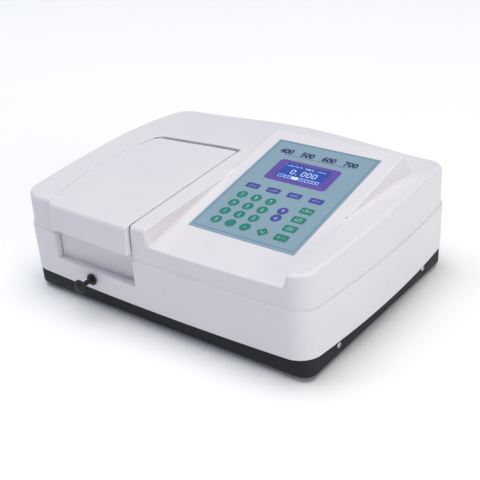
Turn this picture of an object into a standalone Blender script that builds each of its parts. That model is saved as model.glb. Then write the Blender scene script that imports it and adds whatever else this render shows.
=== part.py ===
"""A bench-top spectrophotometer: white two-part housing on a black base tray, a hinged sample
lid over a four-cell carriage with a pull rod, a sloping keypad console, and the optics inside.

Metres, +Z up, +Y to the back. Everything is modelled about the middle of the case, on the bench
top, and then set back a little, so that the origin is under the middle of case and knob together.
"""
from math import atan, cos, pi, radians, sin

import bmesh
import bpy
from mathutils import Matrix, Vector

# --- driving dimensions -------------------------------------------------------------------
WIDTH, DEPTH = 0.475, 0.364          # white housing, at the middle of its bowed sides
BOW_X, BOW_Y = 0.0105, 0.0064        # how far the corners are pulled in from those middles
CORNER = 0.0265                      # plan radius of the housing's corners
FOOT_TOP = 0.0062                    # underside of the base tray
SKIRT = 0.0317                       # bottom edge of the white housing
SEAM = 0.0977                        # joint between the lower and the upper housing
WALL = 0.003
GAP = 0.0003                         # clearance between touching pieces
EDGE_FILLET = 0.006

TOP_MIDDLE, TOP_SLOPE = 0.160, 0.0835  # centre-line height at y = 0, and its rise to the back
TURN_Y, TURN_BEND = 0.020, 0.674     # behind this line the top bends over towards the rear
FALL_FRONT, FALL_BACK = (0.0020, 0.0045), (0.0087, 0.0090)  # drop at the (left, right) side
FALL_WIDTH = 0.215

TRAY_W, TRAY_D, TRAY_CORNER, TRAY_WALL = 0.451, 0.341, 0.017, 0.0025

PANEL = Vector((0.0983, -0.0208, 0.1554))   # middle of the console's flat surface
SLOPE = 0.2035
TILT = atan(SLOPE)
CONSOLE_LEFT, CONSOLE_RIGHT, CONSOLE_CREST = 0.0, 0.1965, 0.104
CONSOLE_FRONT = -0.200
WALL_DRAFT = 0.33                    # outward lean of the console's side and rear walls
STRIP_LEAN = 0.18                    # lean of the walls where the console lies below its sides
STEP = 0.00005                       # keeps two flush faces from lying in exactly one plane

LID_LEFT, LID_RIGHT, LID_BACK = -0.1870, -0.0280, 0.0440
LID_BOW, LID_BOW_Y = 1.305, -0.055   # the lid's left edge is a parabola about this line
LID_BOTTOM, LID_GAP = 0.106, 0.0004
LID_SKIRT = 0.143                    # bottom edge of the lid's side and rear skirt
REAR_EASE = 0.0023                   # extra room left of the lid near its hinge, where it swings
OPENING_RIGHT, OPENING_BACK = -0.0255, 0.0520
RECESS_LEFT = -0.1683
RIM_Z = 0.137                        # top of the wall between the finger recess and the chamber
RECESS_BOTTOM, RECESS_BACK = 0.0610, -0.1685
HINGE_Y, HINGE_Z, PIN_R = 0.034, 0.150, 0.002

FLAP_INNER = -0.1760                 # rear face of the lid's front flap
KNUCKLES = (-0.124, -0.072)
EARS = (-0.1345, -0.0615)            # upright lugs of the chamber that hold the hinge pin

ROD_X, ROD_Z, ROD_R = -0.103, 0.0486, 0.0034
CELL_PITCH, CELLS, CELL_SIDE = 0.020, 4, 0.0130
CARRIAGE_Y = (-0.062, 0.026)
BEAM_Y, BEAM_Z = -0.048, 0.066

KEY_TOP, KEY_BOTTOM, KEY_GAP = 0.0005, -0.0014, 0.0003
ROUND_KEY = 0.0070
MM = 0.001
SET_BACK = 0.01315                   # half of what the pull knob stands out in front

WHITE = (0.72, 0.72, 0.76)
BLACK = (0.02, 0.02, 0.024)


# --- scene helpers ------------------------------------------------------------------------
def clear_scene():
    for obj in list(bpy.data.objects):
        bpy.data.objects.remove(obj, do_unlink=True)


def new_collection(name):
    made = bpy.data.collections.new(name)
    bpy.context.scene.collection.children.link(made)
    return made


def material(name, colour, roughness=0.5, metallic=0.0):
    made = bpy.data.materials.new(name)
    made.use_nodes = True
    shader = made.node_tree.nodes["Principled BSDF"]
    shader.inputs["Base Color"].default_value = (*colour, 1.0)
    shader.inputs["Roughness"].default_value = roughness
    shader.inputs["Metallic"].default_value = metallic
    made.diffuse_color = (*colour, 1.0)
    return made


clear_scene()
PARTS = new_collection("spectrophotometer")
CUTTERS = new_collection("cutters")
PLASTIC_WHITE = material("white_plastic", WHITE, 0.45)
PLASTIC_BLACK = material("black_plastic", BLACK, 0.55)
RUBBER = material("rubber", (0.03, 0.03, 0.03), 0.8)
STEEL = material("steel", (0.62, 0.62, 0.64), 0.3, 1.0)
ALUMINIUM = material("aluminium", (0.75, 0.76, 0.78), 0.35, 1.0)
ANODISED = material("black_anodised", (0.03, 0.03, 0.035), 0.4, 0.6)
OVERLAY = material("overlay_film", (0.26, 0.42, 0.52), 0.35)
KEY_GREEN = material("key_green", (0.01, 0.20, 0.15), 0.4)
KEY_BLUE = material("key_blue", (0.05, 0.06, 0.30), 0.4)
DISPLAY = material("display_glass", (0.04, 0.09, 0.42), 0.15)
BOARD = material("circuit_board", (0.02, 0.18, 0.08), 0.5)
GLASS = material("lamp_glass", (0.9, 0.9, 0.9), 0.05)


def add(name, bm, look):
    """An object from a bmesh: a part if it has a material, otherwise a cutter."""
    bmesh.ops.recalc_face_normals(bm, faces=bm.faces)
    mesh = bpy.data.meshes.new(name)
    bm.to_mesh(mesh)
    bm.free()
    obj = bpy.data.objects.new(name, mesh)
    if look is None:
        CUTTERS.objects.link(obj)
        obj.hide_render = True
        obj.display_type = "WIRE"
    else:
        mesh.materials.append(look)
        mesh.shade_smooth()
        mesh.set_sharp_from_angle(angle=radians(35))
        PARTS.objects.link(obj)
    return obj


def box(name, low, high, look=None, bevel=0.0, upright=False, segments=2):
    """A box between two corners, with all its edges or only its upright ones rounded."""
    low, high = Vector(low), Vector(high)
    bm = bmesh.new()
    bmesh.ops.create_cube(bm, size=1)
    bmesh.ops.scale(bm, vec=high - low, verts=bm.verts)
    bmesh.ops.translate(bm, vec=(low + high) / 2, verts=bm.verts)
    if bevel:
        edges = bm.edges
        if upright:
            edges = [e for e in bm.edges if abs((e.verts[0].co - e.verts[1].co).z) > 1e-6]
        bmesh.ops.bevel(bm, geom=list(edges), offset=bevel, segments=segments, affect="EDGES",
                        profile=0.5)
    return add(name, bm, look)


def rod(name, start, end, radius, look=None, segments=16, end_radius=None):
    """A cylinder, or a cone frustum, between two points."""
    start, end = Vector(start), Vector(end)
    bm = bmesh.new()
    bmesh.ops.create_cone(bm, cap_ends=True, segments=segments, radius1=radius,
                          radius2=radius if end_radius is None else end_radius,
                          depth=(end - start).length)
    turn = Vector((0, 0, 1)).rotation_difference(end - start).to_matrix().to_4x4()
    bmesh.ops.transform(bm, matrix=Matrix.Translation((start + end) / 2) @ turn, verts=bm.verts)
    return add(name, bm, look)


def turned(name, profile, place, look, steps=20):
    """A solid of revolution about Z: the profile runs from the axis, out and down, to the axis."""
    bm = bmesh.new()
    verts = [bm.verts.new((r, 0, z)) for r, z in profile]
    for a, b in zip(verts, verts[1:]):
        bm.edges.new((a, b))
    mesh = bpy.data.meshes.new(name)
    bm.to_mesh(mesh)
    bm.free()
    mesh.materials.append(look)
    obj = bpy.data.objects.new(name, mesh)
    PARTS.objects.link(obj)
    spin = obj.modifiers.new("turn", "SCREW")
    spin.steps = spin.render_steps = steps
    spin.use_merge_vertices = True
    spin.merge_threshold = 0.00001
    spin.use_smooth_shade = True
    obj.matrix_world = place
    return obj


def boolean(obj, other, operation):
    step = obj.modifiers.new(operation.lower() + "_" + other.name, "BOOLEAN")
    step.operation = operation
    step.object = other
    step.solver = "EXACT"
    return obj


def cut(obj, *others):
    for other in others:
        boolean(obj, other, "DIFFERENCE")
    return obj


def join(obj, *others):
    for other in others:
        boolean(obj, other, "UNION")
    return obj


# --- the housing's form -------------------------------------------------------------------
def top_height(x, y):
    """The crowned top: it rises to the back, bends over there, and falls towards each side."""
    ridge = TOP_MIDDLE + TOP_SLOPE * y - TURN_BEND * max(y - TURN_Y, 0.0) ** 2
    share = min(max((y + 0.15) / 0.22, 0.0), 1.0)
    side = int(x > 0)
    fall = FALL_FRONT[side] + (FALL_BACK[side] - FALL_FRONT[side]) * share
    return ridge - fall * sin(pi / 2 * min(abs(x) / FALL_WIDTH, 1.0)) ** 2


def console_height(y):
    return PANEL.z + SLOPE * (y - PANEL.y)


def bowed_block(name, low, high, inset=0.0, inset_top=None, drop=None, look=None, fillet=0.0,
                cuts=(6, 5)):
    """A rounded rectangle with bowed sides between two heights. With drop, its top is the
    crowned top lowered by drop. Inset_top draws the walls in towards the top."""
    half_x, half_y = WIDTH / 2 - BOW_X, DEPTH / 2 - BOW_Y
    inset_top = inset if inset_top is None else inset_top
    bm = bmesh.new()
    bmesh.ops.create_cube(bm, size=1)
    bmesh.ops.scale(bm, vec=(2 * half_x, 2 * half_y, high - low), verts=bm.verts)
    bmesh.ops.translate(bm, vec=(0, 0, (high + low) / 2), verts=bm.verts)
    uprights = [e for e in bm.edges if abs((e.verts[0].co - e.verts[1].co).z) > 1e-6]
    bmesh.ops.bevel(bm, geom=uprights, offset=CORNER, segments=6, affect="EDGES", profile=0.5)
    if fillet:
        rim = [e for e in bm.edges if min(v.co.z for v in e.verts) > high - 1e-6]
        bmesh.ops.bevel(bm, geom=rim, offset=fillet, segments=3, affect="EDGES", profile=0.5)
    for axis, half, count in ((0, half_x, cuts[0]), (1, half_y, cuts[1])):
        normal = [0, 0, 0]
        normal[axis] = 1
        for step in range(1, count):
            middle = [0, 0, 0]
            middle[axis] = half * (2 * step / count - 1)
            bmesh.ops.bisect_plane(bm, geom=bm.verts[:] + bm.edges[:] + bm.faces[:],
                                   plane_co=middle, plane_no=normal)
    for vert in bm.verts:
        x, y, z = vert.co
        share = (z - low) / (high - low)
        pull = inset + (inset_top - inset) * share
        grow_x = BOW_X * (1 - (y / half_y) ** 2) - pull
        grow_y = BOW_Y * (1 - (x / half_x) ** 2) - pull
        vert.co.x = x * (1 + grow_x / half_x)
        vert.co.y = y * (1 + grow_y / half_y)
        if drop is not None and z > high - max(fillet, 1e-4) - 1e-6:
            vert.co.z = z + top_height(vert.co.x, vert.co.y) - drop - high
    return add(name, bm, look)


def console_wedge(name, inset):
    """The solid under the console's sloping plane, with side and rear walls that lean out."""
    drop = inset / cos(TILT)
    left, right = CONSOLE_LEFT + inset, CONSOLE_RIGHT - inset
    front, crest, floor = CONSOLE_FRONT, CONSOLE_CREST - inset, 0.112
    bm = bmesh.new()
    bmesh.ops.create_cube(bm, size=1)
    for vert in bm.verts:
        x_side, y_side, z_side = (c > 0 for c in vert.co)
        y = crest if y_side else front
        top = console_height(y) - drop
        lean = 0.0 if z_side else WALL_DRAFT * (top - floor)
        vert.co = ((right + lean) if x_side else (left - 0.5 * lean),
                   y + (lean if y_side else 0.0), top if z_side else floor)
    return add(name, bm, None)


def above_console(name, inset):
    """Everything over the console's plane, between the leaning walls of the strips beside it."""
    bm = bmesh.new()
    bmesh.ops.create_cube(bm, size=1)
    drop = inset / cos(TILT)
    rise = 0.08
    for vert in bm.verts:
        x_side, y_side, z_side = (c > 0 for c in vert.co)
        y = 0.09 if y_side else -0.22
        lean = STRIP_LEAN * rise if z_side else 0.0
        x = (CONSOLE_RIGHT + 0.0005 + lean + inset if x_side
             else CONSOLE_LEFT + 0.003 - lean - inset)
        vert.co = (x, y, console_height(y) - drop + (rise if z_side else 0.0))
    return add(name, bm, None)


def case_form(name, low, inset, drop, look=None, fillet=0.0, cuts=(6, 5)):
    """The upper housing as a full solid: crowned block, console recess and raised wedge."""
    form = bowed_block(name, low, 0.150, 0.0008 + inset, 0.0020 + inset, drop, look, fillet, cuts)
    cut(form, above_console(name + "_above", inset + STEP))
    wedge = console_wedge(name + "_wedge", inset)
    limit = bowed_block(name + "_limit", low - 0.01, 0.25, 0.0030 + inset, 0.0040 + inset, cuts=cuts)
    boolean(wedge, limit, "INTERSECT")
    return join(form, wedge)


def recess_wall(name, low, high):
    """Solid material left behind the finger recess, between its back and the chamber."""
    return box(name, (RECESS_LEFT - WALL, RECESS_BACK - 0.0065, low),
               (OPENING_RIGHT + WALL, RECESS_BACK + WALL, high))


def recess_cutters(tag):
    """The finger recess, and the dark slot left open at its left end."""
    return (box("recess_" + tag, (RECESS_LEFT, -0.21, RECESS_BOTTOM),
                (OPENING_RIGHT, RECESS_BACK, 0.21)),
            box("recess_slot_" + tag, (RECESS_LEFT, -0.20, RECESS_BOTTOM + 0.001),
                (RECESS_LEFT + 0.0055, -0.163, 0.21)))


def lid_block(name, margin, right, front, back, low, high, ease=0.0):
    """A block with the lid's outline: its left edge is bowed and its left rear corner rounded.
    Ease widens it on the left beside the hinge."""
    bm = bmesh.new()
    bmesh.ops.create_cube(bm, size=1)
    left = LID_LEFT - margin
    bmesh.ops.scale(bm, vec=(right - left, back - front, high - low), verts=bm.verts)
    bmesh.ops.translate(bm, vec=((right + left) / 2, (back + front) / 2, (high + low) / 2),
                        verts=bm.verts)
    corner = [e for e in bm.edges
              if all(v.co.x < left + 1e-6 and v.co.y > back - 1e-6 for v in e.verts)]
    bmesh.ops.bevel(bm, geom=corner, offset=0.012, segments=4, affect="EDGES", profile=0.5)
    for step in range(1, 6):
        bmesh.ops.bisect_plane(bm, geom=bm.verts[:] + bm.edges[:] + bm.faces[:],
                               plane_co=(0, front + (back - 0.013 - front) * step / 6, 0),
                               plane_no=(0, 1, 0))
    for vert in bm.verts:
        if vert.co.x < left + 0.02:
            vert.co.x += LID_BOW * (vert.co.y - LID_BOW_Y) ** 2
            vert.co.x -= ease if vert.co.y > HINGE_Y else 0.0
    return add(name, bm, None)


# --- console frame ------------------------------------------------------------------------
console = bpy.data.objects.new("console_frame", None)
PARTS.objects.link(console)
console.location = PANEL
console.rotation_euler = (TILT, 0, 0)


def on_console(obj, u=0.0, v=0.0):
    """Puts an object, modelled about the console's own axes, at (u, v) millimetres on it."""
    obj.parent = console
    obj.location = (u * MM, v * MM, 0)
    return obj


# Key centres on the console, in millimetres: u to the right, v up the slope.
ROUND_COLUMNS, ROUND_ROWS = (-51.0, -29.1, -7.2), (-25.1, -43.8, -62.4, -81.0)
ROUND_NAMES = (("7", "8", "9"), ("4", "5", "6"), ("1", "2", "3"), ("0", "point", "minus"))
SOFT_COLUMNS, SOFT_ROW, SOFT_SIZE = (-49.1, -17.4, 14.2, 46.3), -3.5, (19.5, 10.0)
SIDE_COLUMN, SIDE_ROWS, SIDE_SIZE = 46.6, (-25.8, -44.5, -63.3, -82.1), (18.0, 11.5)
ARROWS = (18.3, (-36.1, -51.3))
ENTER_KEY, ENTER_SIZE = (18.5, -81.1), 11.4
SCREEN, SCREEN_SIZE = (-2.2, 41.4), (68.0, 33.0)
OVERLAY_SIZE = (156.5, 209.0)


def key_list():
    """(name, shape, u, v, size) of every key."""
    keys = []
    for row, names in zip(ROUND_ROWS, ROUND_NAMES):
        for column, label in zip(ROUND_COLUMNS, names):
            keys.append(("key_" + label, "round", column, row, ROUND_KEY))
    for label, row in zip(("up", "down"), ARROWS[1]):
        keys.append(("key_" + label, "blue_round", ARROWS[0], row, ROUND_KEY - 0.0001))
    for index, column in enumerate(SOFT_COLUMNS):
        keys.append((f"key_soft_{index + 1}", "soft", column, SOFT_ROW, SOFT_SIZE))
    for label, row in zip(("zero", "blank", "print", "start"), SIDE_ROWS):
        keys.append(("key_" + label, "side", SIDE_COLUMN, row, SIDE_SIZE))
    keys.append(("key_enter", "diamond", *ENTER_KEY, ENTER_SIZE))
    return keys


def key_solid(name, shape, size, low, high, grow=0.0, look=None):
    """A key cap, or with grow the hole that it moves in, about the console's axes."""
    if "round" in shape:
        return rod(name, (0, 0, low), (0, 0, high), size + grow, look, 16)
    if shape == "diamond":
        half = size * MM / 2 + grow
        obj = box(name, (-half, -half, low), (half, half, high), look, 0.0018, True)
        obj.data.transform(Matrix.Rotation(pi / 4, 4, "Z"))
        return obj
    half_u, half_v = size[0] * MM / 2 + grow, size[1] * MM / 2 + grow
    return box(name, (-half_u, -half_v, low), (half_u, half_v, high), look, 0.0022, True)


def make_keypad():
    film = box("keypad_overlay", (-OVERLAY_SIZE[0] * MM / 2, -OVERLAY_SIZE[1] * MM / 2, -0.0006),
               (OVERLAY_SIZE[0] * MM / 2, OVERLAY_SIZE[1] * MM / 2, 0.0002), OVERLAY, 0.0015, True)
    on_console(film)
    for name, shape, u, v, size in key_list():
        look = KEY_GREEN if shape in ("round", "side", "diamond") else KEY_BLUE
        on_console(key_solid(name, shape, size, KEY_BOTTOM, KEY_TOP, 0.0, look), u, v)
        hole = key_solid("hole_" + name, shape, size, -0.002, 0.002, KEY_GAP)
        cut(film, on_console(hole, u, v))
    half = [s * MM / 2 for s in SCREEN_SIZE]
    window = box("hole_screen", (-half[0], -half[1], -0.002), (half[0], half[1], 0.002))
    cut(film, on_console(window, *SCREEN))


def make_display():
    half = [s * MM / 2 - GAP for s in SCREEN_SIZE]
    module = box("lcd_module", (-0.040, -0.022, -0.0130), (0.040, 0.022, -0.0036), DISPLAY)
    on_console(module, *SCREEN)
    face = box("lcd_face", (-half[0], -half[1], -0.006), (half[0], half[1], -0.0001))
    join(module, on_console(face, *SCREEN))


def console_cutters():
    """The shallow pocket for the film, the well that the keys travel in, and the LCD window."""
    half_u, half_v = (s * MM / 2 + GAP for s in OVERLAY_SIZE)
    pocket = on_console(box("film_pocket", (-half_u, -half_v, -0.0009), (half_u, half_v, 0.01)))
    well = on_console(box("key_well", (-0.0615, -0.0925, -0.0022), (0.0585, 0.0045, 0.01)))
    half = [s * MM / 2 + GAP for s in SCREEN_SIZE]
    window = box("lcd_window", (-half[0], -half[1], -0.02), (half[0], half[1], 0.01))
    return pocket, well, on_console(window, *SCREEN)


# --- housing ------------------------------------------------------------------------------
def make_upper_housing():
    shell = case_form("upper_housing", SEAM + GAP, 0.0, 0.0, PLASTIC_WHITE, EDGE_FILLET)
    hollow = case_form("upper_hollow", SEAM - 0.02, WALL, WALL, cuts=(3, 3))
    cut(hollow, recess_wall("upper_recess_wall", SEAM - 0.03, RIM_Z + 0.03))
    cut(shell, hollow)
    opening = lid_block("lid_opening", LID_GAP, OPENING_RIGHT, -0.21, OPENING_BACK, RIM_Z, 0.2,
                        REAR_EASE)
    cut(shell, opening, *recess_cutters("upper"), *console_cutters())


def make_lower_housing():
    shell = bowed_block("lower_housing", SKIRT, SEAM, 0.001, 0.0, look=PLASTIC_WHITE)
    hollow = bowed_block("lower_hollow", SKIRT + WALL, SEAM + 0.02, WALL + 0.001, WALL, cuts=(4, 4))
    cut(hollow, recess_wall("lower_recess_wall", RECESS_BOTTOM - WALL, SEAM + 0.03))
    tray_hole = box("tray_hole", (-0.2155, -0.1605, SKIRT - 0.01), (0.2155, 0.1605, SKIRT + 0.01))
    rod_hole = rod("rod_hole", (ROD_X, -0.2, ROD_Z), (ROD_X, -0.16, ROD_Z), 0.0052)
    window = box("rear_window", (PANEL_X[0] + 0.004, 0.165, PANEL_Z[0] + 0.004),
                 (PANEL_X[1] - 0.004, 0.2, PANEL_Z[1] - 0.004))
    cut(shell, hollow, tray_hole, rod_hole, window, *recess_cutters("lower"))


def make_base_tray():
    half_x, half_y = TRAY_W / 2, TRAY_D / 2
    tray = box("base_tray", (-half_x, -half_y, FOOT_TOP), (half_x, half_y, SKIRT - GAP),
               PLASTIC_BLACK, TRAY_CORNER, True, 5)
    inner = box("tray_hollow", (-half_x + TRAY_WALL, -half_y + TRAY_WALL, FOOT_TOP + TRAY_WALL),
                (half_x - TRAY_WALL, half_y - TRAY_WALL, SKIRT + 0.01), None,
                TRAY_CORNER - TRAY_WALL, True, 4)
    cut(tray, inner)


def make_feet():
    corners = [(x, y) for x in (-0.190, 0.190) for y in (-0.130, 0.130)]
    for (x, y), side in zip(corners, ("front_left", "rear_left", "front_right", "rear_right")):
        rod("foot_" + side, (x, y, 0), (x, y, FOOT_TOP - GAP), 0.0095, RUBBER, 20, 0.011)


def make_side_screws():
    for side, name in ((-1, "left"), (1, "right")):
        for y, end in ((-0.107, "front"), (0.107, "rear")):
            start = side * (TRAY_W / 2 + GAP)
            turn = Matrix.Rotation(side * pi / 2, 4, "Y")
            profile = ((0, 0.0018), (0.0022, 0.0016), (0.0036, 0.0006), (0.0038, 0), (0, 0))
            turned(f"side_screw_{name}_{end}", profile,
                   Matrix.Translation((start, y, 0.0215)) @ turn, STEEL, 16)


# --- sample lid and chamber ---------------------------------------------------------------
def lug(name, x, half_width, radius, top):
    """A hinge lug round the pin's axis: upright sides and a rounded lower end."""
    bm = bmesh.new()
    bmesh.ops.create_cube(bm, size=1)
    low = HINGE_Z - radius
    bmesh.ops.scale(bm, vec=(2 * half_width, 2 * radius, top - low), verts=bm.verts)
    bmesh.ops.translate(bm, vec=(x, HINGE_Y, (top + low) / 2), verts=bm.verts)
    lower = [e for e in bm.edges if all(v.co.z < low + 1e-6 for v in e.verts)
             and abs((e.verts[0].co - e.verts[1].co).x) > 1e-6]
    bmesh.ops.bevel(bm, geom=lower, offset=0.95 * radius, segments=4, affect="EDGES", profile=0.5)
    return add(name, bm, None)


def make_lid():
    low, high = 0.08, 0.150
    lid = bowed_block("sample_lid", low, high, -0.0063, -0.0016, 0.0, PLASTIC_WHITE, EDGE_FILLET)
    boolean(lid, lid_block("lid_limit", 0.0, LID_RIGHT, -0.21, LID_BACK, LID_BOTTOM, 0.2),
            "INTERSECT")
    under = bowed_block("lid_under", low - 0.05, high, 0.001, 0.001, WALL, cuts=(4, 4))
    inside = lid_block("lid_inside", -WALL, LID_RIGHT - WALL, FLAP_INNER, LID_BACK - WALL, 0.04, 0.2)
    boolean(under, inside, "INTERSECT")
    below_skirt = box("below_skirt", (-0.21, FLAP_INNER, 0.05), (0.0, 0.06, LID_SKIRT))
    cut(lid, under, below_skirt)
    for x in EARS:
        top = top_height(x, LID_BACK) - WALL
        cut(lid, box(f"ear_notch_{abs(x):.4f}", (x - 0.0035, HINGE_Y, LID_SKIRT - 0.01),
                     (x + 0.0035, LID_BACK + 0.002, top)))
    for x in KNUCKLES:
        join(lid, lug(f"knuckle_{abs(x):.3f}", x, 0.005, 0.0042, top_height(x, HINGE_Y) - 0.0015))
    bore = rod("knuckle_bore", (-0.14, HINGE_Y, HINGE_Z), (-0.06, HINGE_Y, HINGE_Z), PIN_R + GAP)
    cut(lid, bore)
    rod("lid_hinge_pin", (-0.146, HINGE_Y, HINGE_Z), (-0.050, HINGE_Y, HINGE_Z), PIN_R, STEEL, 12)
    panel = box("lid_inner_panel", (-0.059, -0.092, -0.001), (0.059, 0.092, 0.001),
                PLASTIC_BLACK, 0.004, True)
    panel.matrix_world = (Matrix.Translation((-0.098, -0.073, 0.1454))
                          @ Matrix.Rotation(radians(3.4), 4, "X"))


def make_chamber():
    low, high, wall = Vector((-0.163, -0.160, 0.038)), Vector((-0.033, 0.036, 0.128)), 0.0025
    tub = box("sample_tub", low, high, PLASTIC_BLACK, 0.006, True)
    hollow = box("tub_hollow", (low.x + wall, low.y + wall, low.z + wall),
                 (high.x - wall, high.y - wall, 0.2), None, 0.004, True)
    flange = lid_block("tub_flange", -0.001, -0.0285, -0.1648, 0.0495, high.z - 0.0025, high.z)
    join(tub, flange)
    rod_hole = rod("tub_rod_hole", (ROD_X, -0.17, ROD_Z), (ROD_X, -0.15, ROD_Z), 0.0055)
    beam = rod("tub_beam_hole", (-0.18, BEAM_Y, BEAM_Z), (-0.02, BEAM_Y, BEAM_Z), 0.005)
    cut(tub, hollow, rod_hole, beam)
    for x in EARS:
        ear = box(f"ear_{abs(x):.4f}", (x - 0.002, HINGE_Y - 0.006, 0.120),
                  (x + 0.002, HINGE_Y + 0.0032, HINGE_Z))
        boss = rod(f"boss_{abs(x):.4f}", (x - 0.0019, HINGE_Y, HINGE_Z), (x + 0.0019, HINGE_Y, HINGE_Z),
                   0.0034)
        join(tub, ear, boss)
    cut(tub, rod("ear_bore", (-0.16, HINGE_Y, HINGE_Z), (-0.04, HINGE_Y, HINGE_Z), PIN_R + GAP))
    tray_floor = FOOT_TOP + TRAY_WALL + GAP
    for x in (-0.150, -0.046):
        for y in (-0.146, 0.022):
            leg = rod(f"tub_leg_{abs(x):.3f}_{y:.3f}", (x, y, tray_floor), (x, y, low.z + 0.001),
                      0.005, None, 10)
            join(tub, leg)


def make_carriage():
    half, floor = 0.016, 0.0432
    block = box("cell_carriage", (ROD_X - half, CARRIAGE_Y[0], floor),
                (ROD_X + half, CARRIAGE_Y[1], 0.078), ANODISED, 0.001)
    first = BEAM_Y
    for cell in range(CELLS):
        y = first + cell * CELL_PITCH
        side = CELL_SIDE / 2
        socket = box(f"socket_{cell}", (ROD_X - side, y - side, floor + 0.012),
                     (ROD_X + side, y + side, 0.09))
        slit = box(f"slit_{cell}", (ROD_X - 0.03, y - 0.002, BEAM_Z - 0.006),
                   (ROD_X + 0.03, y + 0.002, BEAM_Z + 0.006))
        cut(block, socket, slit)
    box("carriage_rail", (ROD_X - 0.006, -0.150, 0.0408), (ROD_X + 0.006, 0.030, floor - GAP),
        STEEL, 0.0006)


def make_pull_rod():
    front = -0.1975
    rod("pull_rod", (ROD_X, CARRIAGE_Y[0] - GAP, ROD_Z), (ROD_X, front, ROD_Z), ROD_R, STEEL, 16)
    to_front = Matrix.Translation((ROD_X, front - GAP, ROD_Z)) @ Matrix.Rotation(pi / 2, 4, "X")
    profile = ((0, 0.0105), (0.0060, 0.0100), (0.0088, 0.0085), (0.0095, 0.0060), (0.0088, 0.0035),
               (0.0050, 0.0), (0, 0))
    turned("pull_knob", profile, to_front, PLASTIC_BLACK)
    face = -0.1812
    bushing = rod("rod_bushing", (ROD_X, face - 0.0028, ROD_Z), (ROD_X, face - GAP, ROD_Z), 0.0072,
                  PLASTIC_BLACK, 20, 0.0080)
    join(bushing, rod("bushing_barrel", (ROD_X, face - 0.001, ROD_Z), (ROD_X, -0.168, ROD_Z), 0.0048))
    cut(bushing, rod("bushing_bore", (ROD_X, -0.2, ROD_Z), (ROD_X, -0.15, ROD_Z), ROD_R + GAP))


# --- inside -------------------------------------------------------------------------------
BENCH_TOP = 0.026
BENCH = ((-0.020, -0.095), (0.212, 0.165))
MONO = ((-0.016, -0.080), (0.125, 0.050))
TURNTABLE = (0.070, -0.012)


def open_case(name, low, high, look, wall=0.0025):
    """A box with an open top, as the covers inside the instrument are."""
    made = box(name, low, high, look, 0.003, True)
    low, high = Vector(low), Vector(high)
    hollow = box(name + "_hollow", low + Vector((wall, wall, wall)),
                 (high.x - wall, high.y - wall, high.z + 0.01))
    return cut(made, hollow)


def make_optics():
    (x0, y0), (x1, y1) = BENCH
    bench = box("optical_bench", (x0, y0, BENCH_TOP - 0.004), (x1, y1, BENCH_TOP), ALUMINIUM,
                0.004, True)
    for x in (x0 + 0.008, x1 - 0.008):
        for y in (y0 + 0.008, y1 - 0.008):
            join(bench, rod(f"standoff_{x:.3f}_{y:.3f}", (x, y, FOOT_TOP + TRAY_WALL + GAP),
                            (x, y, BENCH_TOP - 0.002), 0.004, None, 10))
    x, y = TURNTABLE
    shaft_hole = rod("shaft_hole", (x, y, 0.0), (x, y, 0.035), 0.005)
    cut(bench, shaft_hole)
    (x0, y0), (x1, y1) = MONO
    mono = open_case("monochromator_box", (x0, y0, BENCH_TOP + GAP), (x1, y1, 0.096), ANODISED)
    beam = rod("mono_beam_hole", (x0 - 0.01, BEAM_Y, BEAM_Z), (x0 + 0.01, BEAM_Y, BEAM_Z), 0.004)
    lamp_slot = rod("mono_lamp_hole", (x1 - 0.01, BEAM_Y, BEAM_Z), (x1 + 0.01, BEAM_Y, BEAM_Z), 0.004)
    cut(mono, beam, lamp_slot, shaft_hole)
    table_z = BENCH_TOP + 0.0035
    table = rod("grating_turntable", (x, y, table_z), (x, y, table_z + 0.006), 0.022, ALUMINIUM, 24)
    join(table, box("grating_block", (x - 0.0175, y - 0.005, table_z + 0.004),
                    (x + 0.0175, y + 0.005, BEAM_Z + 0.016)))
    motor = rod("stepper_motor", (x, y, FOOT_TOP + TRAY_WALL + GAP), (x, y, BENCH_TOP - 0.004 - GAP),
                0.0175, STEEL, 20)
    join(motor, rod("motor_shaft", (x, y, 0.015), (x, y, table_z - GAP), 0.0025, None, 12))
    lamp_house = open_case("lamp_housing", (0.135, -0.085, BENCH_TOP + GAP),
                           (0.205, -0.015, 0.090), ALUMINIUM)
    cut(lamp_house, rod("lamp_port", (0.130, BEAM_Y, BEAM_Z), (0.145, BEAM_Y, BEAM_Z), 0.008))
    profile = ((0, 0.040), (0.0035, 0.0385), (0.0055, 0.035), (0.0055, 0.017), (0.0085, 0.016),
               (0.0085, 0), (0, 0))
    turned("halogen_lamp", profile,
           Matrix.Translation((0.170, -0.048, BENCH_TOP + 2 * GAP + 0.0025)), GLASS, 16)
    detector = box("detector_box", (-0.208, -0.075, 0.040), (-0.1635, -0.020, 0.092), ANODISED, 0.002)
    leg = box("detector_leg", (-0.195, -0.060, FOOT_TOP + TRAY_WALL + GAP), (-0.178, -0.035, 0.045))
    port = rod("detector_port", (-0.175, BEAM_Y, BEAM_Z), (-0.155, BEAM_Y, BEAM_Z), 0.004)
    cut(join(detector, leg), port)


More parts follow.
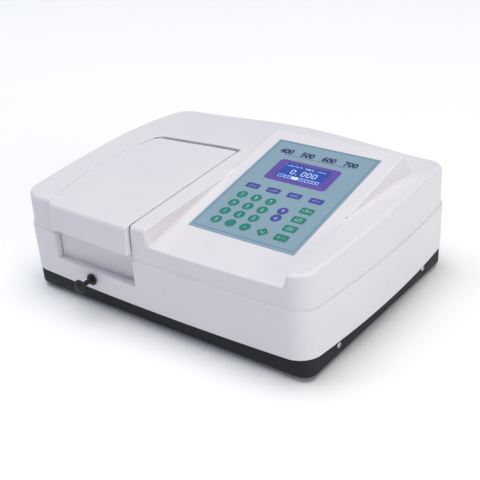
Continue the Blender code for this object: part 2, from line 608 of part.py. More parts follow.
def make_electronics():
    supply = box("power_supply", (0.075, 0.062, BENCH_TOP + GAP), (0.195, 0.150, 0.066), ALUMINIUM)
    vents = [box(f"supply_vent_{n}", (0.09 + 0.018 * n, 0.08, 0.060), (0.099 + 0.018 * n, 0.13, 0.07))
             for n in range(5)]
    cut(supply, *vents)
    board = box("main_board", (-0.085, -0.085, -0.0260), (0.085, 0.085, -0.0244), BOARD)
    on_console(board)
    for u in (-0.078, 0.078):
        for v in (-0.078, 0.078):
            post = rod(f"board_post_{u:.3f}_{v:.3f}", (u, v, -0.0250), (u, v, -0.0033), 0.003, None, 8)
            join(board, on_console(post))
    for index, (u, v, w, d) in enumerate(((-0.03, 0.0, 0.028, 0.028), (0.035, -0.03, 0.020, 0.012),
                                          (0.03, 0.03, 0.034, 0.014), (-0.035, -0.045, 0.012, 0.034))):
        chip = box(f"board_chip_{index}", (u - w / 2, v - d / 2, -0.0250),
                   (u + w / 2, v + d / 2, -0.0210))
        join(board, on_console(chip))


# --- rear panel ---------------------------------------------------------------------------
PANEL_X, PANEL_Z, PANEL_FRONT = (-0.110, 0.170), (0.042, 0.094), 0.1700
PANEL_BACK = PANEL_FRONT + 0.002
FAN = (-0.072, 0.068)
FAN_R = 0.0185
INLET, SWITCH, PORT = (0.138, 0.068), (0.098, 0.068), (0.030, 0.068)


def make_rear_panel():
    plate = box("rear_panel", (PANEL_X[0], PANEL_FRONT, PANEL_Z[0]), (PANEL_X[1], PANEL_BACK,
                                                                      PANEL_Z[1]), STEEL)
    holes = [rod("fan_hole", (FAN[0], 0.16, FAN[1]), (FAN[0], 0.18, FAN[1]), FAN_R, None, 20)]
    for name, (x, z), w, h in (("inlet", INLET, 0.0280, 0.0210), ("switch", SWITCH, 0.0140, 0.0220),
                               ("port", PORT, 0.0310, 0.0130)):
        holes.append(box(name + "_hole", (x - w / 2, 0.16, z - h / 2), (x + w / 2, 0.18, z + h / 2)))
    cut(plate, *holes)


def make_power_inlet():
    x, z = INLET
    body = box("power_inlet", (x - 0.0137, 0.150, z - 0.0102), (x + 0.0137, PANEL_BACK + 0.001,
                                                               z + 0.0102), PLASTIC_BLACK, 0.002)
    flange = box("inlet_flange", (x - 0.0175, PANEL_BACK + GAP, z - 0.0135),
                 (x + 0.0175, PANEL_BACK + 0.0025, z + 0.0135), None, 0.0008)
    join(body, flange)
    well = box("inlet_well", (x - 0.0115, 0.158, z - 0.0078), (x + 0.0115, 0.18, z + 0.0078))
    cut(body, well)
    for dx, dz in ((-0.007, -0.001), (0.0, 0.003), (0.007, -0.001)):
        join(body, box(f"inlet_pin_{dx}", (x + dx - 0.001, 0.156, z + dz - 0.002),
                       (x + dx + 0.001, 0.171, z + dz + 0.002)))


def make_rocker():
    """A rocker on a pivot along X, tilted one way at rest as it is when switched off."""
    x, z = SWITCH
    bm = bmesh.new()
    half, deep, tall = 0.0065, 0.006, 0.0100
    bmesh.ops.create_cube(bm, size=1)
    for vert in bm.verts:
        sx, sy, sz = (1 if c > 0 else -1 for c in vert.co)
        vert.co = (half * sx, 0.0045 if sy > 0 else -deep, tall * sz if sy > 0 else 0.0055 * sz)
    rocker = add("power_rocker", bm, PLASTIC_BLACK)
    rocker.matrix_world = (Matrix.Translation((x, PANEL_BACK - 0.0005, z))
                           @ Matrix.Rotation(radians(-8), 4, "X"))


def make_data_port():
    x, z = PORT
    shell = box("data_port", (x - 0.0150, 0.158, z - 0.0060), (x + 0.0150, PANEL_BACK + 0.005,
                                                              z + 0.0060), STEEL, 0.0015)
    cut(shell, box("port_well", (x - 0.0105, PANEL_BACK - 0.002, z - 0.0040),
                   (x + 0.0105, PANEL_BACK + 0.01, z + 0.0040)))


def make_fan():
    x, z = FAN
    back, front = PANEL_FRONT - GAP, PANEL_FRONT - 0.0105
    frame = box("fan_frame", (x - 0.020, front, z - 0.020), (x + 0.020, back, z + 0.020),
                PLASTIC_BLACK, 0.001)
    cut(frame, rod("fan_bore", (x, 0.15, z), (x, 0.18, z), FAN_R, None, 20))
    for turn in (pi / 4, 3 * pi / 4):
        arm = box(f"fan_arm_{turn:.2f}", (-0.0225, front, -0.001), (0.0225, front + 0.0015, 0.001))
        arm.matrix_world = Matrix.Translation((x, 0, z)) @ Matrix.Rotation(turn, 4, "Y")
        join(frame, arm)
    y0, y1 = front + 0.0018, back - 0.0012
    rotor = rod("fan_rotor", (x, y0, z), (x, y1, z), 0.0075, PLASTIC_BLACK, 16)
    for blade in range(5):
        vane = box(f"fan_blade_{blade}", (0.006, -0.0038, -0.0006), (0.0172, 0.0038, 0.0006))
        vane.matrix_world = (Matrix.Translation((x, (y0 + y1) / 2, z))
                             @ Matrix.Rotation(blade * 2 * pi / 5, 4, "Y")
                             @ Matrix.Rotation(radians(32), 4, "X"))
        join(rotor, vane)


def set_back():
    """Moves the whole model, cutters included, so that its origin is under its own middle."""
    for obj in [*PARTS.objects, *CUTTERS.objects]:
        if obj.parent is None:
            obj.location.y += SET_BACK


make_base_tray()
make_feet()
make_side_screws()
make_lower_housing()
make_upper_housing()
make_lid()
make_chamber()
make_carriage()
make_pull_rod()
make_keypad()
make_display()
make_optics()
make_electronics()
make_rear_panel()
make_power_inlet()
make_rocker()
make_data_port()
make_fan()
set_back()
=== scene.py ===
"""The looks of a bench-top spectrophotometer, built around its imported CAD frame.

Metres, +Z up, +Y to the back. The moulded shells are meshed from rounded implicit forms, so that
every edge has its own radius. Small pieces are modelled and bevelled, and prints are raised films.
"""
from math import atan, cos, pi, radians, sin, sqrt

import bmesh
import bpy
import numpy as np
from mathutils import Matrix, Vector


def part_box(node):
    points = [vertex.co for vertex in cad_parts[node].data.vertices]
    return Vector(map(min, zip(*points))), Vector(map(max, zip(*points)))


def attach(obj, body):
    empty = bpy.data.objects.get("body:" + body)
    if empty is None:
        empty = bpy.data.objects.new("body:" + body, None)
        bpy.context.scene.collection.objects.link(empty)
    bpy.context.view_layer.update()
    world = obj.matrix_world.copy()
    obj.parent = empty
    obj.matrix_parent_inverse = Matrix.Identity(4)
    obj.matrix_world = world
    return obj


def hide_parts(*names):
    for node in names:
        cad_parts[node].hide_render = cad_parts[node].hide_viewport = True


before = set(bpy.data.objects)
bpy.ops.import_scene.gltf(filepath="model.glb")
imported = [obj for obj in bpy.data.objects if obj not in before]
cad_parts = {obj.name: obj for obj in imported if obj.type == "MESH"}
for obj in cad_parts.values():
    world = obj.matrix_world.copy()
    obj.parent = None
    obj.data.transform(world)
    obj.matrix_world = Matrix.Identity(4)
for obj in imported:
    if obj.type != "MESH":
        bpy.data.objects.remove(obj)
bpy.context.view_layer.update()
MM = 0.001

# --- the form: the same dimensions as in the CAD, about the middle of the case ---
SET_BACK = sum(corner.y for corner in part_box("lower_housing")) / 2


def node_box(node):
    """A CAD node's box about the middle of the case."""
    offset = Vector((0, SET_BACK, 0))
    low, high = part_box(node)
    return low - offset, high - offset


LOWER = node_box("lower_housing")
TRAY = node_box("base_tray")
SKIRT, SEAM = LOWER[0].z, LOWER[1].z
BOW_X, BOW_Y, CORNER = 0.0105, 0.0064, 0.0265
HALF_X, HALF_Y = LOWER[1].x - BOW_X, LOWER[1].y - BOW_Y
WALL, EDGE, EDGE_FILLET = 0.003, 0.0007, 0.006
TOP_MIDDLE, TOP_SLOPE, TURN_Y, TURN_BEND = 0.160, 0.0835, 0.020, 0.674
FALL_FRONT, FALL_BACK, FALL_WIDTH = (0.0020, 0.0045), (0.0087, 0.0090), 0.215
PANEL = Vector((0.0983, -0.0208, 0.1554))
SLOPE = 0.2035
TILT = atan(SLOPE)
CONSOLE_LEFT, CONSOLE_RIGHT, CONSOLE_CREST = 0.0, 0.1965, 0.104
WALL_DRAFT, STRIP_LEAN = 0.33, 0.18
LID = node_box("sample_lid")
LID_LEFT, LID_RIGHT, LID_BACK, LID_BOTTOM = -0.1870, LID[1].x, LID[1].y, LID[0].z
LID_BOW, LID_BOW_Y, LID_CORNER = 1.305, -0.055, 0.012
LID_GAP, REAR_EASE = 0.0004, 0.0023
FLAP_INNER, LID_SKIRT, LID_EDGE = -0.1760, 0.143, 0.0009
OPENING_RIGHT, OPENING_BACK, RIM_Z = -0.0255, 0.0520, 0.137
SHELF, GUTTER_FRONT = 0.003, -0.1640
RECESS_LEFT, RECESS_BOTTOM, RECESS_BACK, SLOT = -0.1683, 0.0610, -0.1685, 0.0014
FLAP_INSET = (-0.0063, -0.0016)
UPPER_INSET, FOOT, FOOT_HEIGHT = 0.0025, 0.0016, 0.0028
PANEL_LIP = 0.004                        # how far the rear window's edge stands over its panel


# --- rounded implicit forms: negative inside, in metres ---
def both(a, b, radius=0.0006):
    """Where both forms are, with the edge between them rounded."""
    u, v = np.maximum(a + radius, 0), np.maximum(b + radius, 0)
    return np.minimum(-radius, np.maximum(a, b)) + np.sqrt(u * u + v * v)


def either(a, b, radius=0.0006):
    """Where either form is, with the inner corner between them filled."""
    return -both(-a, -b, radius)


def without(a, b, radius=0.0006):
    return both(a, -b, radius)


def meet(form, *others):
    """Where all the forms are, with sharp edges."""
    for other in others:
        form = np.maximum(form, other)
    return form


def slab(value, low, high):
    return np.maximum(low - value, value - high)


def block(x, y, z, low, high, radius=0.0006):
    """A box with all its edges rounded."""
    return both(both(slab(x, low[0], high[0]), slab(y, low[1], high[1]), radius),
                slab(z, low[2], high[2]), radius)


def tube(a, b, centre, radius):
    return np.hypot(a - centre[0], b - centre[1]) - radius


def outline(x, y):
    """Distance outside the bowed rounded rectangle that the whole case follows in plan."""
    u, v = x, y
    for _ in range(3):
        grow_x = BOW_X * (1 - (v / HALF_Y) ** 2)
        grow_y = BOW_Y * (1 - (u / HALF_X) ** 2)
        u, v = x / (1 + grow_x / HALF_X), y / (1 + grow_y / HALF_Y)
    side, end = np.abs(u) - HALF_X + CORNER, np.abs(v) - HALF_Y + CORNER
    return np.hypot(np.maximum(side, 0), np.maximum(end, 0)) + np.minimum(
        np.maximum(side, end), 0) - CORNER


def top_height(x, y):
    """The crowned top: it rises to the back, bends over there, and falls towards each side."""
    ridge = TOP_MIDDLE + TOP_SLOPE * y - TURN_BEND * np.maximum(y - TURN_Y, 0.0) ** 2
    share = np.clip((y + 0.15) / 0.22, 0.0, 1.0)
    front = np.where(x > 0, FALL_FRONT[1], FALL_FRONT[0])
    back = np.where(x > 0, FALL_BACK[1], FALL_BACK[0])
    swing = np.sin(pi / 2 * np.minimum(np.abs(x) / FALL_WIDTH, 1.0)) ** 2
    return ridge - (front + (back - front) * share) * swing


def console_height(y):
    return PANEL.z + SLOPE * (y - PANEL.y)


def lid_left(y):
    return LID_LEFT + LID_BOW * (y - LID_BOW_Y) ** 2


def ramp(value, low, high):
    share = np.clip((value - low) / (high - low), 0, 1)
    return share * share * (3 - 2 * share)


def console_form(x, y, z):
    """The raised solid under the console's plane, with walls that lean out."""
    above = (z - console_height(y)) * cos(TILT)
    depth = console_height(np.minimum(y, CONSOLE_CREST)) - z
    right = (x - CONSOLE_RIGHT - WALL_DRAFT * depth) * cos(atan(WALL_DRAFT))
    left = CONSOLE_LEFT - 0.5 * WALL_DRAFT * depth - x
    rear = (y - CONSOLE_CREST - WALL_DRAFT * (console_height(CONSOLE_CREST) - z)) * cos(
        atan(WALL_DRAFT))
    return both(above, both(meet(left, right), rear, 0.004), 0.0022)


def strip_cut(x, y, z):
    """What is cut away over the console where it lies lower than the strips beside it."""
    height = z - console_height(y)
    floor = -(height + 0.003) * cos(TILT)
    left = (CONSOLE_LEFT + 0.0028 - STRIP_LEAN * height - x) * cos(atan(STRIP_LEAN))
    right = (x - CONSOLE_RIGHT + 0.0003 - STRIP_LEAN * height) * cos(atan(STRIP_LEAN))
    return meet(floor, left, right)


def case_top(x, y, z):
    crown = without(z - top_height(x, y), strip_cut(x, y, z), 0.0014)
    return either(crown, console_form(x, y, z), 0.0022)


def up_console(y, z):
    """Distance up the console's slope from the middle of its panel."""
    return (y - PANEL.y) * cos(TILT) + (z - PANEL.z) * sin(TILT)


def key_well(x, y, z):
    """The shallow well under the keypad film that the keys travel in."""
    above = (z - PANEL.z) * cos(TILT) - (y - PANEL.y) * sin(TILT)
    well = meet(slab(x - PANEL.x, -0.0615, 0.0585), slab(up_console(y, z), -0.0925, 0.0045))
    return meet(well, -0.0032 - above)


def screen_window(x, y, z):
    """The hole that the display looks out of."""
    return meet(slab(x - PANEL.x, -0.0365, 0.0321), slab(up_console(y, z), 0.0246, 0.0582))


def lid_region(x, y, margin, right, back):
    """Inside the lid's outline in plan, grown by margin on the left and back."""
    left = lid_left(y) - margin - x
    return meet(both(left, y - back, LID_CORNER), x - right)


def recess(x, y, z):
    """The finger recess under the lid's flap, and the dark slot at its left end."""
    pocket = meet(slab(x, RECESS_LEFT, OPENING_RIGHT), y - RECESS_BACK)
    slot = meet(slab(x, RECESS_LEFT, RECESS_LEFT + SLOT), y + 0.163)
    return either(meet(pocket, RECESS_BOTTOM - z),
                  meet(slot, RECESS_BOTTOM + 0.001 - z), 0.0004)


def recess_wall(x, y, z, low):
    """The solid round the finger recess, down to a height."""
    across = slab(x, RECESS_LEFT - WALL, OPENING_RIGHT + WALL)
    return meet(across, slab(y, -0.195, RECESS_BACK + WALL), low - z)


def inner_corner(x, y):
    """Thickens the walls inside the case's corners."""
    return np.abs(x) + np.abs(y) - (HALF_X + HALF_Y - 0.030)


def gutter(x, y, z):
    """The walls and the shelf round the lid's opening."""
    walls = lid_region(x, y, WALL, OPENING_RIGHT + WALL, OPENING_BACK + WALL)
    walls = meet(walls, GUTTER_FRONT - y)
    inside = lid_region(x, y, -0.0080, OPENING_RIGHT - 0.0060, OPENING_BACK - 0.0055)
    return meet(walls, -inside, RIM_Z - SHELF - z)


def upper_form(x, y, z):
    """The upper shell: its foot flares to the seam, and its front edge is sharper by the keys."""
    foot = np.clip(1 - (z - SEAM) / FOOT_HEIGHT, 0, 1) ** 2
    inset = UPPER_INSET + 0.0004 * np.clip((z - SEAM) / 0.052, 0, 1.5) - FOOT * foot
    sharper = ramp(x, 0.0, 0.004) * ramp(-x, -0.2, -0.196) * ramp(-y, 0, 0.05)
    fillet = EDGE_FILLET - 0.0035 * sharper
    outer = both(outline(x, y) + inset, case_top(x, y, z), fillet)
    outer = without(outer, key_well(x, y, z), 0.0004)
    hollow = meet(outer + WALL, inner_corner(x, y))
    hollow = without(hollow, recess_wall(x, y, z, 0.0), 0.0004)
    shell = meet(outer, -meet(hollow, -gutter(x, y, z)))
    beside = LID_GAP + REAR_EASE * ramp(y, 0.0, 0.036)
    soft = EDGE + 0.0016 * ramp(y, 0.025, 0.045) + 0.0006 * ramp(x, -0.040, -0.030)
    lid_hole = lid_region(x, y, beside, OPENING_RIGHT, OPENING_BACK)
    shell = without(shell, meet(lid_hole, RIM_Z - z), soft)
    rib = meet(slab(x, LID_RIGHT + 0.0003, OPENING_RIGHT + 0.001),
               slab(y, GUTTER_FRONT, OPENING_BACK))
    rib = both(rib, z - top_height(x, y) + 0.0022, 0.0004)
    shell = np.minimum(shell, meet(rib, RIM_Z - z - 0.001))
    shell = without(shell, recess(x, y, z), EDGE)
    shell = without(shell, screen_window(x, y, z), 0.0004)
    return meet(shell, SEAM + 0.00002 - z)


def lower_form(x, y, z):
    inset = 0.001 * np.clip((SEAM - z) / (SEAM - SKIRT), 0, 1)
    wall = outline(x, y) + inset
    outer = both(both(wall, z - SEAM, 0.0006), SKIRT - z, 0.0015)
    hollow = without(meet(wall + WALL, inner_corner(x, y), SKIRT + WALL - z),
                     recess_wall(x, y, z, RECESS_BOTTOM - WALL), 0.0004)
    shell = meet(outer, -hollow)
    tray_hole = meet(np.abs(x) - 0.2155, np.abs(y) - 0.1605)
    shell = without(shell, meet(tray_hole, z - SKIRT - 0.008), 0.0004)
    rod_hole = meet(tube(x, z, (ROD.x, ROD.z), 0.0052), y + 0.16)
    window = meet(slab(x, REAR[0].x + PANEL_LIP, REAR[1].x - PANEL_LIP),
                  slab(z, REAR[0].z + PANEL_LIP, REAR[1].z - PANEL_LIP))
    for cutter in (rod_hole, meet(window, 0.16 - y), recess(x, y, z)):
        shell = without(shell, cutter, EDGE)
    return shell


def lid_form(x, y, z):
    inset = FLAP_INSET[0] + (FLAP_INSET[1] - FLAP_INSET[0]) * (z - 0.08) / 0.07
    crown = z - top_height(x, y)
    outer = both(outline(x, y) + inset, crown, EDGE_FILLET)
    soft = LID_EDGE * (1 + ramp(y, 0.02, 0.04))
    outer = both(outer, lid_region(x, y, 0.0, LID_RIGHT, LID_BACK), soft)
    outer = both(outer, LID_BOTTOM - z, LID_EDGE)
    inside = meet(lid_region(x, y, -WALL, LID_RIGHT - WALL, LID_BACK - WALL), crown + WALL)
    inside = np.minimum(inside, z - np.minimum(LID_SKIRT, top_height(x, y) - 0.0040))
    for x_ear in EARS:
        notch = meet(np.abs(x - x_ear) - 0.0035, PIN.y - y, crown + WALL)
        inside = np.minimum(inside, notch)
    return without(outer, meet(inside, FLAP_INNER - y), 0.0005)


def tub_form(x, y, z):
    low, high = TUB_LOW, TUB_HIGH
    body = both(both(slab(x, low.x, high.x), slab(y, low.y, high.y), 0.006), slab(z, low.z, high.z))
    flange = meet(lid_region(x, y, -0.001, -0.0285, 0.0495), -0.1648 - y)
    body = either(body, both(flange, slab(z, high.z - TUB_WALL, high.z), 0.0008), 0.001)
    hollow = both(slab(x, low.x + TUB_WALL, high.x - TUB_WALL),
                  slab(y, low.y + TUB_WALL, high.y - TUB_WALL), 0.004)
    body = without(body, both(hollow, low.z + TUB_WALL - z, 0.002), 0.0008)
    for x_ear in EARS:
        upright = both(slab(y, PIN.y - 0.006, PIN.y + 0.0032), z - PIN.z, 0.001)
        ear = both(np.minimum(upright, tube(y, z, (PIN.y, PIN.z), 0.0034)),
                   meet(slab(x, x_ear - 0.002, x_ear + 0.002), 0.120 - z), 0.0004)
        body = either(body, ear, 0.0012)
    for x_leg in LEGS_X:
        for y_leg in LEGS_Y:
            leg = meet(tube(x, y, (x_leg, y_leg), 0.005), slab(z, 0.009, low.z + 0.001))
            body = either(body, leg, 0.0006)
    rod_hole = meet(tube(x, z, (ROD.x, ROD.z), 0.0055), y + 0.15)
    body = without(body, rod_hole, 0.0006)
    return without(body, meet(tube(y, z, BEAM, 0.005), z - 0.12), 0.0006)


def carriage_form(x, y, z):
    low, high = CARRIAGE
    body = block(x, y, z, low, high, 0.0012)
    for cell in range(CELLS):
        centre = BEAM[0] + cell * CELL_PITCH
        socket = meet(meet(np.abs(x - ROD.x), np.abs(y - centre)) - 0.0065, low.z + 0.012 - z)
        slit = meet(np.abs(y - centre) - 0.002, np.abs(z - BEAM[1]) - 0.006)
        body = without(without(body, socket, 0.0008), slit, 0.0005)
    return body


# --- places read from the frame ---
def middle(node):
    low, high = node_box(node)
    return (low + high) / 2


ROD = middle("pull_rod")
PIN = middle("lid_hinge_pin")
REAR = node_box("rear_panel")
CARRIAGE = node_box("cell_carriage")
KNOB, BUSHING = node_box("pull_knob"), node_box("rod_bushing")
TUB_LOW, TUB_HIGH = Vector((-0.163, -0.160, 0.038)), Vector((-0.033, 0.036, 0.128))
TUB_WALL, LEGS_X, LEGS_Y = 0.0025, (-0.150, -0.046), (-0.146, 0.022)
BEAM = (-0.048, 0.066)
EARS, KNUCKLES = (-0.1345, -0.0615), (-0.124, -0.072)
CELLS, CELL_PITCH = 4, 0.020


def shift(x, y, z):
    return Matrix.Translation((x, y, z))


CONSOLE = shift(*PANEL) @ Matrix.Rotation(TILT, 4, "X")


# --- meshing ---
def ticks(low, high, coarse, fine, spots, reach=0.006, ease=0.02):
    """Grid lines between two ends, close together near the given spots."""
    lines, spots = [low], np.array(spots)
    while lines[-1] < high:
        share = np.clip((np.abs(spots - lines[-1]).min() - reach) / ease, 0.0, 1.0)
        lines.append(lines[-1] + fine + (coarse - fine) * share)
    return np.array(lines)


def gradient(form, points, reach):
    slopes = []
    for axis in range(3):
        step = np.zeros((3, 1))
        step[axis] = reach
        slopes.append((form(*(points + step)) - form(*(points - step))) / (2 * reach))
    return np.array(slopes)


def follow_lid(x, y, z):
    """Leans the grid so that its lines run along the lid's curved left edge."""
    share = np.clip(1 - np.abs(x - LID_LEFT) / 0.045, 0, 1)
    return x + share * LID_BOW * (np.minimum(y, 0.06) - LID_BOW_Y) ** 2, y, z


def straight(x, y, z):
    return x, y, z


def surface(form, lines, lean=straight):
    """Points and outward quads of a form's surface: one point in each grid cell that it crosses,
    moved onto the form along its gradient."""
    values = form(*lean(*np.meshgrid(*lines, indexing="ij")))
    cells = [len(line) - 1 for line in lines]
    count, total = np.zeros(np.prod(cells)), np.zeros((3, np.prod(cells)))
    quads = []
    for axis in range(3):
        order = [axis, (axis + 1) % 3, (axis + 2) % 3]
        turned = values.transpose(order)
        i, j, k = np.nonzero((turned[:-1] < 0) != (turned[1:] < 0))
        start, end = turned[i, j, k], turned[i + 1, j, k]
        spot = np.zeros((3, len(i)))
        along = lines[axis]
        spot[axis] = along[i] + (along[i + 1] - along[i]) * start / (start - end)
        spot[order[1]], spot[order[2]] = lines[order[1]][j], lines[order[2]][k]
        ring = []
        for step_j, step_k in ((-1, -1), (0, -1), (0, 0), (-1, 0)):
            cell = [None] * 3
            cell[axis], cell[order[1]], cell[order[2]] = i, j + step_j, k + step_k
            flat = np.ravel_multi_index(cell, cells)
            ring.append(flat)
            count += np.bincount(flat, minlength=len(count))
            for c in range(3):
                total[c] += np.bincount(flat, spot[c], minlength=len(count))
        ring = np.array(ring).T
        quads.append(np.where((start < 0)[:, None], ring, ring[:, ::-1]))
    used = np.nonzero(count)[0]
    number = np.zeros(len(count), int)
    number[used] = np.arange(len(used))
    points = np.array(lean(*(total[:, used] / count[used])))
    for _ in range(5):
        slope = gradient(form, points, 0.00002)
        step = form(*points) / np.maximum((slope ** 2).sum(0), 0.2)
        points = points - np.clip(step, -0.001, 0.001) * slope
    return points, number[np.concatenate(quads)]


def moulded(name, form, lines, look, lean=straight):
    """A moulded piece whose shading follows its form exactly."""
    points, quads = surface(form, lines, lean)
    mesh = bpy.data.meshes.new(name)
    mesh.from_pydata(points.T.tolist(), [], quads.tolist())
    mesh.materials.append(look)
    mesh.polygons.foreach_set("use_smooth", np.ones(len(mesh.polygons), bool))
    normals = gradient(form, points, 0.00025)
    normals /= np.maximum(np.linalg.norm(normals, axis=0), 1e-9)
    mesh.normals_split_custom_set_from_vertices(normals.T.tolist())
    return add(name, mesh)


def add(name, mesh):
    """An object of a mesh made about the middle of the case, moved to the frame's origin."""
    mesh.transform(shift(0, SET_BACK, 0))
    obj = bpy.data.objects.new(name, mesh)
    bpy.context.scene.collection.objects.link(obj)
    return obj


def settle(made, body, slot, *nodes):
    """Rides a piece on its body and lets it stand for CAD nodes; the slot is not used."""
    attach(made, body)
    if nodes:
        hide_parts(*nodes)


# --- materials ---
class Look:
    """A material under construction: nodes are added by type and linked by socket name."""

    def __init__(self, name):
        self.material = bpy.data.materials.new(name)
        self.material.use_nodes = True
        self.tree = self.material.node_tree
        self.shader = self.tree.nodes["Principled BSDF"]
        self.place = self.node("ShaderNodeTexCoord").outputs["Object"]

    def node(self, kind, links=(), **values):
        made = self.tree.nodes.new(kind)
        for key, value in values.items():
            if hasattr(made, key):
                setattr(made, key, value)
            else:
                made.inputs[key.replace("_", " ")].default_value = value
        for socket, source in dict(links).items():
            self.tree.links.new(source, made.inputs[socket])
        return made

    def noise(self, scale, detail=2.0, roughness=0.5):
        return self.node("ShaderNodeTexNoise", {"Vector": self.place}, Scale=scale, Detail=detail,
                         Roughness=roughness).outputs["Fac"]

    def spread(self, source, low, high, start=0.0, end=1.0):
        """The source's start to end, mapped onto low to high."""
        made = self.node("ShaderNodeMapRange", {"Value": source})
        for key, value in (("From Min", start), ("From Max", end), ("To Min", low), ("To Max", high)):
            made.inputs[key].default_value = value
        return made.outputs["Result"]

    def blend(self, factor, first, second):
        """One colour or the other by a factor; each is a colour or a socket."""
        made = self.node("ShaderNodeMix", data_type="RGBA")
        self.tree.links.new(factor, made.inputs[0])
        for index, colour in ((6, first), (7, second)):
            if isinstance(colour, tuple):
                made.inputs[index].default_value = (*colour, 1.0)
            else:
                self.tree.links.new(colour, made.inputs[index])
        return made.outputs[2]

    def patches(self, scale, low, high, detail=2.0, roughness=0.5):
        """Soft patches of noise, from low to high."""
        return self.spread(self.noise(scale, detail, roughness), low, high, 0.3, 0.7)

    def bump(self, source, height, strength=1.0, normal=None):
        links = {"Height": source}
        if normal is not None:
            links["Normal"] = normal
        made = self.node("ShaderNodeBump", links, Strength=strength, Distance=height)
        return made.outputs["Normal"]

    def finish(self, colour, roughness, normal=None, glow=None, **values):
        for socket, source in (("Base Color", colour), ("Roughness", roughness), ("Normal", normal),
                               ("Emission Color", glow)):
            if isinstance(source, float):
                self.shader.inputs[socket].default_value = source
            elif source is not None:
                self.tree.links.new(source, self.shader.inputs[socket])
        for key, value in values.items():
            self.shader.inputs[key.replace("_", " ")].default_value = value
        return self.material


def moulded_plastic(name, colour, tint, rough, grain=0.000012, grain_scale=1400.0, edge_highlight=0.06,
                    **values):
    """Injection-moulded plastic: a fine spark-eroded grain, faint clouds, and a painted highlight along
    convex edges.
    """
    look = Look(name)
    body = look.blend(look.patches(9.0, 0.0, 1.0, 3.0), colour, tint)
    specks = look.spread(look.noise(420.0), 0.0, 0.05, 0.55, 0.75)
    body = look.blend(specks, body, tuple(c * 0.6 for c in tint))
    # painted highlight: convex edges, found by pointiness, are made lighter as if they caught the light
    highlit_edge_colour = tuple(min(1.0, c + edge_highlight) for c in colour)
    pointed = look.node("ShaderNodeNewGeometry").outputs["Pointiness"]
    body = look.blend(look.spread(pointed, 0.0, 0.5, 0.51, 0.56), body, highlit_edge_colour)
    shine = look.patches(26.0, rough - 0.05, rough + 0.06, 4.0, 0.6)
    fine = look.bump(look.noise(grain_scale, 3.0, 0.6), grain)
    return look.finish(body, shine, look.bump(look.noise(60.0), 0.00003, 0.4, fine), **values)


def metal(name, colour, rough, direction=(1.0, 1.0, 1.0), scratch=0.000008):
    """Metal with a brushed or ground grain along its least-scaled axis."""
    look = Look(name)
    mapped = look.node("ShaderNodeMapping", {"Vector": look.place})
    mapped.inputs["Scale"].default_value = direction
    grain = look.node("ShaderNodeTexNoise", {"Vector": mapped.outputs["Vector"]}, Scale=900.0,
                      Detail=3.0).outputs["Fac"]
    body = look.blend(look.spread(grain, 0.0, 0.6, 0.35, 0.75), colour, tuple(c * 0.7 for c in colour))
    shine = look.patches(45.0, rough - 0.06, rough + 0.1, 3.0)
    return look.finish(body, shine, look.bump(grain, scratch), Metallic=1.0)


def printed(name, colour, tint):
    """Screen-printed ink: slightly uneven, with a faint dot screen."""
    look = Look(name)
    dots = look.node("ShaderNodeTexVoronoi", {"Vector": look.place}, Scale=2600.0).outputs["Distance"]
    body = look.blend(look.spread(look.noise(160.0), 0.0, 0.5, 0.35, 0.7), colour, tint)
    return look.finish(body, look.patches(90.0, 0.40, 0.53), look.bump(dots, 0.000004))


WHITE = moulded_plastic("white_abs", (0.752, 0.727, 0.752), (0.722, 0.700, 0.730), 0.42)
BASE = moulded_plastic("base_abs", (0.010, 0.0112, 0.0155), (0.014, 0.0155, 0.021), 0.55, 0.00003, 900.0,
                       0.015, Specular_IOR_Level=0.22)
BLACK = moulded_plastic("black_abs", (0.009, 0.009, 0.011), (0.013, 0.013, 0.015), 0.5, 0.00002, 1100.0,
                        0.015, Specular_IOR_Level=0.3)
RUBBER = moulded_plastic("rubber", (0.02, 0.02, 0.02), (0.03, 0.03, 0.03), 0.75, 0.00004, 700.0, 0.02)

# --- shells ---
RIM_X, RIM_Y = HALF_X + BOW_X / 2, HALF_Y + BOW_Y / 2


